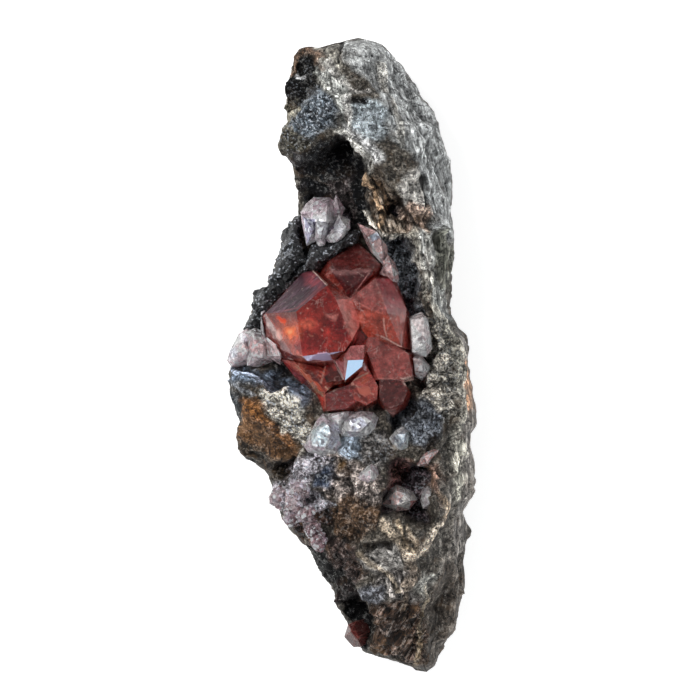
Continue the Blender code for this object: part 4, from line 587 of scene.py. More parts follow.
def strays(points, coarse, fine, seed):
    """How far soft noise of two sizes moves each point across and along."""
    across = swell(points, coarse, seed) + 0.5 * swell(points, fine, seed + 1)
    along = swell(points, coarse, seed + 2) + 0.5 * swell(points, fine, seed + 3)
    return np.stack([across, along, np.zeros(points.shape[:-1])], axis=-1)


def layered(points, chip_layers, swell_layer):
    """Layers of broken faces and one of soft noise, each times its depth, added up."""
    total = sum(depth * chips(points, size, seed, keenness)
                for depth, size, seed, keenness in chip_layers)
    depth, size, seed = swell_layer
    return total + depth * swell(points, size, seed)


def daylight(colour):
    """Surface colour, linear, for a colour seen out of 255 under the lamps of this scene.

    The inverse of the sRGB curve, over the light that falls on an open level surface.
    """
    seen = np.array(colour) / 255.0
    linear = np.where(seen <= 0.04045, seen / 12.92, ((seen + 0.055) / 1.055) ** 2.4)
    return linear / LIGHT_FALLING


skin = skin_grid(ROWS, SPANS)
wander = strays(skin, 2.6, 1.1, 71)
strayed = skin + PATCH_WANDER * wander
normal = grid_normals(skin)
on_top = smooth((normal[..., 2] - PATCHES_FROM) / PATCHES_OVER)

stone = np.ones(skin.shape) * daylight(UNDERLAY)
sparkle, fibre, rugged = [np.full(skin.shape[:-1], trait) for trait in UNDERLAY_TRAITS]
bearing = np.stack([np.zeros(skin.shape[:-1]), np.ones(skin.shape[:-1])], axis=-1)
for outline, colour, glitter, threads, degrees, roughness in PATCHES.values():
    share = on_top * covered(strayed, outline, PATCH_EDGE)
    stone += share[..., None] * (daylight(colour) - stone)
    sparkle += share * (glitter - sparkle)
    fibre += share * (threads - fibre)
    rugged += share * (roughness - rugged)
    way = np.array([math.cos(math.radians(degrees)), math.sin(math.radians(degrees))])
    bearing += share[..., None] * (way - bearing)
bearing = unit(bearing)

# Hollows and lumps first, then the broken faces, then the fibres, seams and ribs.
facing = smooth((normal[..., 2] - LUMPS_FROM) / LUMPS_OVER)
shaped = skin.copy()
ragged = skin + EDGE_WANDER * wander
for outline, height in LUMPS.values():
    shaped[..., 2] += facing * height * covered(ragged, outline, LUMP_LIP)
for outline, level in HOLLOWS.values():
    share = facing * covered(ragged, outline, HOLLOW_LIP)
    shaped[..., 2] += share * np.minimum(level - shaped[..., 2], 0.0)
above = smooth((skin[..., 2] - RELIEF_FROM) / RELIEF_OVER)
within = smooth(np.minimum(HIGH_END[1] - skin[..., 1], skin[..., 1] - LOW_END[1]) / END_FADE)
kept = MAIN_KEPT + (1.0 - MAIN_KEPT) * smooth(np.abs(normal[..., 2]) / STEEP)
main_relief = layered(skin, MAIN_CHIPS, MAIN_SWELL) * kept
fine_relief = (layered(shaped, FINE_CHIPS, FINE_SWELL) * rugged
               * (FINE_KEPT + (1.0 - FINE_KEPT) * kept))
across_fibres = shaped[..., 0] * bearing[..., 1] - shaped[..., 1] * bearing[..., 0]
along_fibres = shaped[..., 0] * bearing[..., 0] + shaped[..., 1] * bearing[..., 1]
threads = np.stack([across_fibres, along_fibres, shaped[..., 2]], axis=-1) / FIBRE_SIZE
thread_relief = swell(threads, 1.0, 83)
fine_relief += FIBRE_DEPTH * fibre * thread_relief
for path, half_width, height, colour, cover in SEAMS.values():
    away = beside(skin + SEAM_WANDER * wander, path)
    share = on_top * smooth(SEAM_REACH - away / half_width)
    fine_relief += share * height * SEAM_RELIEF
    stone += (share * cover)[..., None] * (daylight(colour) - stone)
    rugged += share * (SEAM_RUGGED - rugged)
relief = (main_relief + fine_relief) * above * within
way_out = unit(normal * 0.5 + grid_normals(shaped) * 0.5)
shaped += normal * (main_relief * above * within)[..., None]
shaped += way_out * (fine_relief * above * within)[..., None]
shaped[..., 2] = np.maximum(shaped[..., 2], 0.0)

# Painted shade and light: the stone is darkened where the relief lies below the mean of its
# neighbours, and lightened where it stands above it.
near_step = fine_relief - blurred(fine_relief, NEAR_PAINTED_SHADING[1])
wide_step = relief - blurred(relief, WIDE_PAINTED_SHADING[1])
tone = np.clip(NEAR_PAINTED_SHADING[0] * near_step + WIDE_PAINTED_SHADING[0] * wide_step, DARKEST, PALEST)
stone *= (np.exp(tone) * (1.0 + FIBRE_TONE * fibre * thread_relief))[..., None]


def grid_mesh(name, grid, low, high):
    """A closed mesh from a grid of points: columns run round, and rows end in two poles."""
    rows, columns = grid.shape[:2]
    points = np.concatenate([grid.reshape(-1, 3), [low, high]]) * METRES
    number = np.arange(rows * columns).reshape(rows, columns)
    nextdoor = np.roll(number, -1, axis=1)
    quads = np.stack([number[:-1], nextdoor[:-1], nextdoor[1:], number[1:]], -1).reshape(-1, 4)
    low_pole, high_pole = rows * columns, rows * columns + 1
    fans = [np.stack([np.full(columns, low_pole), nextdoor[0], number[0]], -1),
            np.stack([np.full(columns, high_pole), number[-1], nextdoor[-1]], -1)]
    mesh = bpy.data.meshes.new(name)
    mesh.from_pydata(points.tolist(), [], quads.tolist() + fans[0].tolist() + fans[1].tolist())
    mesh.shade_smooth()
    return mesh


def put_colours(mesh, name, values):
    """Store four values at every point of a mesh, under a name that materials can read."""
    layer = mesh.attributes.new(name, "FLOAT_COLOR", "POINT")
    layer.data.foreach_set("color", np.ascontiguousarray(values, dtype=np.float32).ravel())


def in_scene(name, mesh, *nodes):
    """An object for a finished mesh, which rides with the stone and stands for the CAD nodes."""
    piece = bpy.data.objects.new(name, mesh)
    bpy.context.scene.collection.objects.link(piece)
    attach(piece, "root")
    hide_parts(*nodes)
    return piece


rock_mesh = grid_mesh("ore_rock", shaped, LOW_END, HIGH_END)
ends = np.tile([*daylight(UNDERLAY), 1.0], (2, 1))
mottling = 0.5 + 0.6 * np.clip(rugged, 0.0, 1.2)
put_colours(rock_mesh, "stone", np.concatenate([
    np.concatenate([stone, mottling[..., None]], -1).reshape(-1, 4), ends]))
habit = np.stack([sparkle, fibre, 0.5 + 0.5 * bearing[..., 0], 0.5 + 0.5 * bearing[..., 1]], -1)
put_colours(rock_mesh, "habit", np.concatenate([habit.reshape(-1, 4), [[0.2, 0.2, 0.5, 1.0]] * 2]))
rock = in_scene("broken_ore_rock", rock_mesh, "matrix_rock")


class Value:
    """A number that varies over a surface. Arithmetic on it adds Math nodes to its finish."""

    def __init__(self, finish, socket):
        self.finish = finish
        self.socket = socket

    def maths(self, operation, *others, first=None):
        """A Math node on this value and others, with another value before it if one is given."""
        numbers = (self, *others) if first is None else (first, self, *others)
        return self.finish.add("ShaderNodeMath", {"operation": operation},
                               dict(enumerate(numbers)))

    def __add__(self, other):
        return self.maths("ADD", other)

    def __sub__(self, other):
        return self.maths("SUBTRACT", other)

    def __rsub__(self, other):
        return self.maths("SUBTRACT", first=other)

    def __mul__(self, other):
        return self.maths("MULTIPLY", other)

    def __truediv__(self, other):
        return self.maths("DIVIDE", other)

    def __rtruediv__(self, other):
        return self.maths("DIVIDE", first=other)

    __radd__ = __add__
    __rmul__ = __mul__

    def clamped(self, low, high):
        """The value, held between low and high."""
        return self.maths("MAXIMUM", low).maths("MINIMUM", high)

    def between(self, low, high):
        """0 at or below low, 1 at or above high, an S curve between."""
        settings = {"interpolation_type": "SMOOTHSTEP"}
        inputs = {"Value": self, "From Min": low, "From Max": high}
        return self.finish.add("ShaderNodeMapRange", settings, inputs)


class Finish:
    """A material in the making, with its Principled shader."""

    def __init__(self, name):
        self.material = bpy.data.materials.new(name)
        self.material.use_nodes = True
        self.tree = self.material.node_tree
        self.shader = self.tree.nodes["Principled BSDF"]

    def add(self, kind, settings=None, inputs=None, output=0):
        """A node of any type: its settings first, then the values or links of its sockets.

        Returns the value of one output, or a list of values where output names several.
        """
        node = self.tree.nodes.new(kind)
        for name, setting in (settings or {}).items():
            setattr(node, name, setting)
        for name, value in (inputs or {}).items():
            self.put(node.inputs[name], value)
        if isinstance(output, tuple):
            return [Value(self, node.outputs[name]) for name in output]
        return Value(self, node.outputs[output])

    def put(self, socket, value):
        """Link a value to a socket, or set it there."""
        if isinstance(value, Value):
            self.tree.links.new(value.socket, socket)
        else:
            socket.default_value = value

    def attribute(self, name, output="Color"):
        """What a mesh stores under a name."""
        return self.add("ShaderNodeAttribute", {"attribute_name": name}, {}, output)

    def parts(self, vector):
        """The three numbers of a vector or colour."""
        return self.add("ShaderNodeSeparateXYZ", {}, {0: vector}, (0, 1, 2))

    def vector(self, *parts):
        """A vector of three numbers."""
        return self.add("ShaderNodeCombineXYZ", {}, dict(enumerate(parts)))

    def place(self):
        """Where a point of the piece lies, in metres."""
        return self.add("ShaderNodeTexCoord", {}, {}, "Object")

    def noise(self, place, scale, detail=3.0, rough=0.55, twist=0.0):
        """Noise from 0 to 1, with scale waves to a metre."""
        inputs = {"Vector": place, "Scale": scale, "Detail": detail, "Roughness": rough,
                  "Distortion": twist}
        return self.add("ShaderNodeTexNoise", {}, inputs, "Fac")

    def blend(self, first, second, share):
        """The second colour over the first by a share from 0 to 1."""
        settings = {"data_type": "RGBA", "clamp_factor": True}
        return self.add("ShaderNodeMix", settings, {0: share, 6: first, 7: second}, 2)

    def brightened(self, colour, amount):
        """A colour times a number."""
        settings = {"operation": "SCALE"}
        return self.add("ShaderNodeVectorMath", settings, {0: colour, "Scale": amount})

    def facets(self, place, scale):
        """Height of small flat faces, each sloping its own random way, and their random draws."""
        middle, draws = self.add("ShaderNodeTexVoronoi", {}, {"Vector": place, "Scale": scale},
                                 ("Position", "Color"))
        away = self.add("ShaderNodeVectorMath", {"operation": "SUBTRACT"}, {0: place, 1: middle})
        slope = self.add("ShaderNodeVectorMath", {"operation": "SUBTRACT"},
                         {0: draws, 1: (0.5, 0.5, 0.5)})
        fall = self.add("ShaderNodeVectorMath", {"operation": "DOT_PRODUCT"},
                        {0: away, 1: slope}, "Value")
        return fall, draws

    def bump(self, height, strength):
        """Light the surface as if it stood out by that height, in metres."""
        inputs = {"Height": height, "Distance": 1.0, "Strength": strength}
        self.set(Normal=self.add("ShaderNodeBump", {}, inputs, "Normal"))

    def set(self, **inputs):
        """Set or link inputs of the Principled shader, named with _ for each space."""
        for name, value in inputs.items():
            self.put(self.shader.inputs[name.replace("_", " ")], value)


ORE_CREAM = (0.60, 0.60, 0.58, 1.0)
ORE_RUST = (0.26, 0.15, 0.075, 1.0)
ORE_PIT = (0.010, 0.010, 0.011, 1.0)
ORE_GLINT = (0.80, 0.86, 0.95, 1.0)


def ore_finish():
    """Broken ore: the painted stone, mottled, cracked, with pale grains and dark pits."""
    finish = Finish("broken_ore")
    stone_colour = finish.attribute("stone")
    traits = finish.attribute("habit")
    glitter, thread, way_x = finish.parts(traits)
    way_y = finish.attribute("habit", "Alpha")
    place = finish.place()
    x, y, z = finish.parts(place)
    lie_x, lie_y = way_x * 2.0 - 1.0, way_y * 2.0 - 1.0
    threads = finish.vector(x * lie_y - y * lie_x, (x * lie_x + y * lie_y) * 0.1, z * 0.5)

    clots = finish.noise(place, 520.0, 4.0, 0.6)
    grain = finish.noise(place, 1900.0, 5.0, 0.75, 0.3)
    strands = finish.noise(threads, 1700.0, 4.0, 0.65)
    fine = grain + (strands - grain) * thread
    depth = finish.attribute("stone", "Alpha")
    tone = ((clots - 0.5) * 3.8 + (fine - 0.5) * 12.0 - 0.10) * depth
    tone = tone.maths("EXPONENT").clamped(0.05, 3.4)
    colour = finish.brightened(stone_colour, tone)
    colour = finish.blend(colour, ORE_CREAM, tone.between(1.2, 3.0) * 0.30)

    warm = finish.noise(place, 330.0, 3.0, 0.6).between(0.52, 0.72)
    red_part, _, blue_part = finish.parts(stone_colour)
    rust = ((red_part - blue_part) / (red_part + 0.01)).clamped(0.0, 1.0)
    colour = finish.blend(colour, ORE_RUST, warm * (rust * 0.6 + 0.08))
    pale = finish.noise(place, 2900.0, 2.0, 0.5).between(0.60, 0.70)
    colour = finish.brightened(colour, 1.0 + pale * 0.9)
    pits = finish.noise(place, 1300.0, 3.0, 0.6).between(0.42, 0.33)
    colour = finish.blend(colour, ORE_PIT, pits * 0.85)
    rift = (finish.noise(place, 460.0, 5.0, 0.62, 0.8) - 0.5).maths("ABSOLUTE")
    cracks = rift.between(0.022, 0.004)
    colour = finish.blend(colour, ORE_PIT, cracks * 0.8)

    fall, draws = finish.facets(place, 3300.0)
    struck = finish.parts(draws)[0].between(0.84, 0.90) * (glitter * 1.5 - 0.5).clamped(0.0, 1.0)
    colour = finish.blend(colour, ORE_GLINT, struck * 0.85)
    finish.set(Base_Color=colour,
               Roughness=(0.62 - glitter * 0.22 - struck * 0.25 + (grain - 0.5) * 0.5)
               .clamped(0.16, 0.9),
               Specular_IOR_Level=0.25)
    height = (clots * 1.1 + fine * 0.55) * 0.0016 - cracks * 0.0004 + fall * glitter * 0.9
    finish.bump(height, 0.9)
    return finish.material


rock_mesh.materials.append(ore_finish())

# ------------------------------------------------------------------ the red crystals
# Rhodochrosite grown in one cluster: clear deep red inside, with smooth salmon faces, a
# frosted slope on the left one and two faces that lie like mirrors, tinted as painted
# reflections. Painted glows and painted shade lie on the faces, with veils. The flat faces are
# those of the solid, with the narrow worn edges that soft crystals have.

WELD = 2e-7                 # metres; points of the solid closer than this are one
SAME_FACE = math.radians(1.2)       # facets that turn less than this are one face
FLUSH = 3e-5                # metres; and they lie no further than this from its plane
SHARP = math.radians(9.0)   # edges that turn more than this are worn
OVERHEAD = 100.0            # a height above every piece
RED_EDGE = 0.11             # width of a worn edge
RED_STEP = 0.5              # longest edge of the mesh that carries the colours
LINE_STEP = 0.18            # and along the lines, where they have to be sharp
LINE_MARGIN = 0.1           # how far beside a line the mesh is that fine
OPEN_HEIGHT = 20.0          # below this the crystals are in the rock, and the edges may be
DEEP_STEPS = 2.0            # so many times longer
CUTS = 9                    # an edge is halved at most so many times

# One entry for each face: a spot on it (across, along), its colour as seen out of 255 with the
# light and shade on it, then roughness, mirror and frost.
RED_FACES = {
    "frosted slope": ((-9.5, 11.0), (44, 16, 28), 0.30, 1.0, 0.85),
    "broad front": ((-5.0, 5.0), (152, 48, 42), 0.06, 0.0, 0.0),
    "left window": ((-11.6, 3.4), (180, 84, 68), 0.16, 0.0, 0.1),
    "narrow strip": ((-0.9, 6.9), (228, 122, 114), 0.10, 0.0, 0.0),
    "right crystal, inner": ((3.0, 10.0), (152, 78, 74), 0.10, 0.0, 0.05),
    "right crystal, outer": ((7.0, 9.4), (162, 74, 80), 0.18, 0.0, 0.3),
    "right crystal, lower": ((3.7, 5.7), (162, 70, 56), 0.08, 0.0, 0.0),
    "flat face": ((5.8, -0.6), (152, 80, 76), 0.14, 0.0, 0.0),
    "round one": ((6.8, -6.1), (96, 46, 44), 0.14, 0.0, 0.1),
    "roof, upper": ((0.8, 16.3), (98, 44, 42), 0.10, 0.0, 0.0),
    "roof, lower": ((-0.9, 11.8), (88, 32, 34), 0.10, 0.0, 0.0),
    # painted reflection: a pale bluish tint on a mirror face
    "bright face": ((0.3, -2.3), (170, 192, 212), 0.12, 1.0, 0.0),
    "above the bright face": ((0.6, 0.6), (172, 98, 98), 0.14, 0.0, 0.0),
    # painted reflection: a pale lavender tint on a mirror face
    "lip": ((-6.1, -0.3), (204, 192, 226), 0.14, 1.0, 0.0),
    "long ridge": ((-7.6, -3.4), (255, 120, 106), 0.16, 0.0, 0.2),
    "recess": ((-3.2, -3.7), (54, 12, 10), 0.12, 0.0, 0.0),
    "toe": ((-2.0, -7.0), (134, 34, 28), 0.12, 0.0, 0.0),
    "knee": ((2.2, -5.7), (178, 84, 76), 0.12, 0.0, 0.1),
}
RED_ELSEWHERE = ((132, 52, 44), 0.14, 0.0, 0.1)
RED_WORN = ((232, 166, 154), 0.22, 0.0, 0.2)

# Painted glows and painted shade, with veils, laid on the faces as if seen inside them: outline
# (across, along), colour out of 255, how fully it covers, and how softly it ends. Most colours
# were fitted like the ore's.
RED_PAINTED_LIGHT_SHADE_AND_VEILS = {
    "upper front": ([(-5.4, 11.6), (-3.9, 11.3), (-2.5, 8.9), (-4.9, 8.0), (-8.2, 8.5)],
        (112, 18, 18), 0.8, 1.4),
    "dark right of the front": ([(-3.9, 8.0), (-1.8, 7.0), (-0.1, 3.7), (-1.1, 2.5), (-3.0, 3.7),
        (-4.6, 5.6)], (90, 16, 20), 0.9, 1.6),
    "bright foot of the front": ([(-11.1, 2.7), (-8.2, 3.9), (-4.9, 3.2), (-4.4, 0.9), (-8.2, 0.4),
        (-10.1, 0.9)], (124, 34, 34), 0.9, 1.6),
    "amber round the glow": ([(-12.2, 5.6), (-10.6, 6.0), (-8.6, 5.2), (-8.6, 3.0), (-10.3, 2.0),
        (-11.9, 2.8)], (232, 96, 62), 0.85, 1.6),
    "band": ([(-8.8, 5.7), (-7.5, 6.0), (-6.0, 5.4), (-6.7, 4.6), (-8.2, 4.5)], (232, 102, 80),
        0.9, 1.3),
    "veil": ([(-4.9, 7.1), (-3.5, 6.6), (-2.2, 7.1), (-2.7, 5.9), (-3.9, 6.2)], (200, 120, 112),
        0.85, 0.4),
    "dark of the slope": ([(-10.9, 10.1), (-8.4, 11.3), (-7.1, 11.8), (-8.2, 8.9), (-10.6, 7.2),
        (-12.4, 8.0)], (26, 10, 20), 0.7, 1.2),
    "red of the slope": ([(-8.4, 14.1), (-6.8, 14.5), (-4.9, 12.5), (-6.3, 11.7), (-7.8, 12.3)],
        (142, 62, 70), 0.95, 1.5),
    "bright of the strip": ([(-1.6, 7.7), (-0.2, 7.6), (0.7, 4.4), (-0.2, 3.2), (-1.0, 5.6)],
        (250, 150, 140), 0.8, 0.8),
    "below the strip": ([(0.7, 4.1), (2.1, 3.9), (2.0, 1.8), (0.1, 1.9)], (244, 98, 96), 0.95,
        0.6),
    "ledge of the roof": ([(-3.6, 14.8), (-2.8, 14.5), (3.2, 14.7), (3.1, 13.9), (-2.5, 13.7),
        (-3.7, 14.1)], (170, 116, 114), 0.85, 0.25),
    "inner face, top": ([(1.6, 10.8), (4.2, 13.2), (5.0, 10.6), (3.2, 9.2)], (146, 86, 84), 0.8,
        1.2),
    "lower face, left": ([(0.8, 7.3), (2.4, 7.3), (2.2, 5.0), (0.9, 4.6)], (180, 90, 76), 0.9,
        0.9),
    "lower face, right": ([(6.2, 6.8), (9.4, 7.4), (8.6, 2.4), (6.8, 2.6)], (174, 74, 62), 0.8,
        0.9),
    "foot of the outer face": ([(5.8, 7.6), (9.4, 8.6), (9.6, 7.2), (6.2, 6.9)], (126, 48, 48),
        0.7, 0.9),
    "flat face, lower left": ([(3.0, -1.6), (4.6, -2.2), (5.0, -4.2), (3.2, -4.4)], (172, 82, 76),
        0.8, 0.9),
    "corner of the flat face": ([(8.4, -3.6), (10.4, -3.6), (10.0, -5.4), (9.0, -5.0)],
        (250, 188, 178), 0.9, 0.5),
    "foot of the round one": ([(5.4, -9.0), (7.4, -8.8), (7.0, -11.0), (5.6, -10.6)],
        (210, 158, 154), 0.8, 0.5),
    "dark left skirt": ([(-12.8, -0.8), (-10.6, -1.4), (-8.0, -4.2), (-8.8, -4.9), (-11.4, -2.8)],
        (196, 58, 56), 0.8, 0.7),
    "hollow under the lip": ([(-8.0, -1.1), (-3.0, -0.9), (-1.9, -2.2), (-4.6, -3.6),
        (-7.2, -2.4)], (144, 54, 50), 0.9, 0.5),
    "brown of the recess": ([(-3.9, -2.0), (-1.6, -3.4), (-1.9, -4.9), (-4.2, -4.6)], (84, 30, 26),
        0.9, 0.4),
    "glow of the ridge": ([(-9.0, -2.2), (-8.2, -2.4), (-6.2, -4.8), (-5.2, -6.6), (-5.9, -6.4),
        (-7.6, -4.6)], (250, 152, 116), 0.9, 0.35),
    "glow beside the bright face": ([(1.0, -3.0), (2.6, -2.8), (3.0, -4.4), (1.6, -4.6)],
        (206, 94, 72), 0.8, 0.5),
    "sparks of the knee": ([(0.6, -5.8), (2.2, -5.4), (4.2, -6.0), (3.2, -7.4), (1.2, -7.2)],
        (152, 64, 56), 0.75, 0.8),
    "wall above the knee": ([(-4.2, -5.9), (-1.0, -4.4), (-0.6, -4.9), (-3.8, -6.3)],
        (255, 196, 176), 1.0, 0.3),
    "pale edge of the window": ([(-14.3, 5.6), (-13.6, 5.4), (-11.6, 2.9), (-12.0, 2.3),
        (-13.4, 3.0)], (240, 180, 172), 0.9, 0.35),
    "corner by the skirt": ([(-9.1, 0.3), (-8.5, -0.1), (-7.9, -3.1), (-9.3, -2.3)],
        (186, 100, 84), 0.7, 0.4),
    "plate beside the bright face": ([(-2.9, -0.8), (-0.8, -0.8), (-1.3, -3.9)], (184, 116, 122),
        0.8, 0.3),
    "left of the toe": ([(-6.0, -6.4), (-4.8, -6.4), (-4.4, -9.2), (-5.4, -9.4)], (218, 78, 66),
        0.9, 0.4),
}
# Painted light: flashes as if thrown back from inside, laid on like a foil as bright mirror
# patches: outline, colour and softness.
RED_PAINTED_FLASHES = {
    "left glow": ([(-11.4, 4.6), (-10.6, 5.0), (-9.6, 4.7), (-9.4, 3.6), (-10.3, 3.1),
        (-11.2, 3.6)], (255, 138, 92), 0.9),
    "heart of the glow": ([(-10.9, 4.2), (-10.3, 4.5), (-10.0, 4.0), (-10.5, 3.7)],
        (255, 190, 140), 0.5),
    "upper glow": ([(-12.9, 6.7), (-12.1, 6.5), (-11.2, 5.8), (-11.4, 5.2), (-12.1, 5.6)],
        (240, 92, 58), 0.5),
    "pane of the window": ([(-12.9, 4.2), (-12.3, 4.4), (-11.9, 3.0), (-12.3, 2.6)],
        (250, 196, 184), 1.0),
    "rest of the lip": ([(-6.4, 0.1), (-4.4, 0.5), (-3.1, -0.6), (-4.6, -0.8), (-7.2, -0.9)],
        (192, 176, 206), 0.15),
    "small lip on the left": ([(-11.1, -0.5), (-10.0, -0.6), (-10.1, -0.9), (-10.9, -0.8)],
        (236, 204, 200), 0.2),
    "bar beside the bright face": ([(1.75, -1.2), (2.1, -1.2), (2.35, -2.5), (2.05, -2.6)],
        (238, 216, 222), 0.15),
    "side of the ridge": ([(-9.2, -2.4), (-8.4, -2.3), (-6.6, -4.4), (-7.0, -4.8)],
        (226, 124, 100), 0.4),
    "end of the ridge": ([(-6.6, -4.2), (-5.8, -4.4), (-4.7, -5.9), (-5.2, -6.1)], (216, 108, 86),
        0.3),
    "spark of the knee": ([(-0.1, -4.5), (0.35, -4.3), (0.5, -4.9), (0.0, -5.0)], (244, 186, 170),
        0.2),
    "facet of the knee": ([(1.0, -5.4), (3.0, -5.3), (3.3, -6.4), (2.2, -6.9), (1.4, -6.3)],
        (214, 124, 108), 0.4),
    "second facet of the knee": ([(1.4, -4.5), (2.6, -3.8), (2.8, -4.4), (1.8, -5.0)],
        (202, 104, 86), 0.3),
}
RED_FLASH_TRAITS = (0.7, 0.9, 0.0)
# Cracks and worn lines, with painted sparks of light and painted shade under the lip: path,
# half width, colour, how fully it covers.
RED_LINES = {
    "crest of the slope": ([(-6.7, 14.5), (-4.2, 12.0)], 0.15, (244, 190, 178), 1.0),
    "bend of the slope": ([(-13.3, 7.2), (-9.2, 8.0), (-5.2, 11.8)], 0.12, (140, 76, 78), 0.5),
    "top of the strip": ([(-4.0, 12.6), (-0.3, 9.5)], 0.14, (200, 124, 116), 0.85),
    "inner edge": ([(-0.2, 9.6), (3.4, 7.6), (5.6, 6.9)], 0.11, (198, 112, 102), 0.65),
    "edge to the tip": ([(3.9, 13.0), (6.0, 7.1)], 0.11, (192, 114, 108), 0.55),
    "crack in the lower face": ([(5.3, 6.2), (5.5, 4.2), (5.9, 3.0)], 0.13, (214, 158, 146), 0.8),
    "upper edge of the flat face": ([(4.9, 3.3), (8.2, 1.5), (9.6, 0.3)], 0.12, (252, 176, 166),
        0.8),
    "lower edge of the flat face": ([(4.2, -4.0), (6.4, -3.9), (8.8, -4.2)], 0.12, (190, 130, 122),
        0.6),
    "edge of the lip": ([(-8.3, -0.2), (-7.2, -1.1), (-3.2, -0.9)], 0.10, (216, 170, 168), 0.7),
    "leg of the lip": ([(-3.0, -0.9), (-1.6, -3.6)], 0.16, (244, 186, 184), 0.8),
    "ridge": ([(-9.4, -1.8), (-7.4, -4.0), (-5.0, -6.8)], 0.16, (255, 180, 152), 0.85),
    "edge of the recess": ([(-4.6, -2.0), (-5.0, -3.8), (-5.4, -4.9)], 0.16, (236, 160, 146), 0.8),
    "edge down to the point": ([(-3.0, -0.9), (-2.1, -2.5), (-1.4, -4.0)], 0.10, (240, 190, 186),
        0.8),
    "second ridge": ([(-8.0, -3.3), (-6.3, -5.2), (-4.9, -6.4)], 0.10, (236, 150, 124), 0.8),
    "third ridge": ([(-9.5, -1.6), (-8.7, -2.8), (-7.7, -3.4)], 0.10, (226, 140, 118), 0.8),
    "dark beside the ridge": ([(-7.4, -2.6), (-6.2, -3.8), (-5.4, -5.0)], 0.22, (84, 26, 24), 0.8),
    # painted shade: a dark line under the lip
    "painted shade under the lip": ([(-7.4, -1.3), (-5.6, -1.4), (-4.2, -1.4)], 0.28, (70, 22, 22), 0.8),
    "hatch under the lip": ([(-5.8, -1.9), (-4.3, -2.6)], 0.09, (214, 110, 88), 0.8),
    "second hatch": ([(-5.7, -2.6), (-4.6, -3.1)], 0.09, (206, 104, 84), 0.8),
    "third hatch": ([(-5.6, -3.3), (-5.0, -3.7)], 0.09, (206, 110, 90), 0.8),
    "squiggle of the toe": ([(-4.5, -5.3), (-3.9, -5.8), (-3.3, -5.2), (-2.7, -5.4)], 0.10,
        (252, 170, 146), 0.8),
    "fold of the toe": ([(-4.7, -6.1), (-4.6, -7.4), (-4.5, -8.9)], 0.10, (222, 126, 112), 0.8),
    "dark fold of the toe": ([(-3.9, -6.4), (-1.8, -5.6), (0.4, -5.4)], 0.25, (76, 24, 24), 0.6),
    "edge of the knee": ([(-0.6, -4.6), (0.9, -3.8), (2.6, -2.9)], 0.12, (252, 176, 156), 0.8),
    "dark of the knee": ([(0.5, -5.3), (1.2, -6.8), (2.4, -7.6)], 0.25, (104, 38, 34), 0.7),
    "thread of the knee": ([(0.6, -5.0), (2.0, -5.9), (3.6, -6.6)], 0.09, (240, 166, 150), 0.7),
    "spark of the front": ([(-7.6, 8.0), (-7.4, 7.9)], 0.10, (238, 160, 146), 0.8),
    "second spark": ([(-5.1, 4.5), (-4.9, 4.2)], 0.09, (240, 164, 150), 0.8),
    "third spark": ([(-7.3, 3.6), (-7.0, 3.3), (-6.5, 3.3)], 0.07, (236, 140, 120), 0.7),
    "spark by the tip": ([(6.9, 9.6), (7.0, 9.4)], 0.10, (240, 190, 184), 0.8),
    "crack by the ledge": ([(-0.3, 9.6), (2.9, 14.0)], 0.09, (230, 150, 146), 0.6),
    "left end of the roof": ([(-3.7, 14.2), (-4.3, 13.0), (-1.0, 10.2)], 0.10, (176, 104, 98),
        0.6),
}
CLEAR_GAIN = 1.6            # the part of a clear face that scatters light is this much brighter
BRIGHTEST = 0.97
RED_STRAY = 0.28            # how far the patches stray from their outlines
LINE_STRAY = 0.2            # share of that for the lines
LINE_REACH = 1.6            # a line ends this many half widths from its middle
FLASH_STRAY = 0.25
WORN_SHARE = 0.45           # how much of its own colour a worn edge keeps


def through(colour, gain=CLEAR_GAIN):
    """Linear colour of a clear body whose faces are seen in that colour out of 255."""
    return np.minimum(gain * daylight(colour), BRIGHTEST)


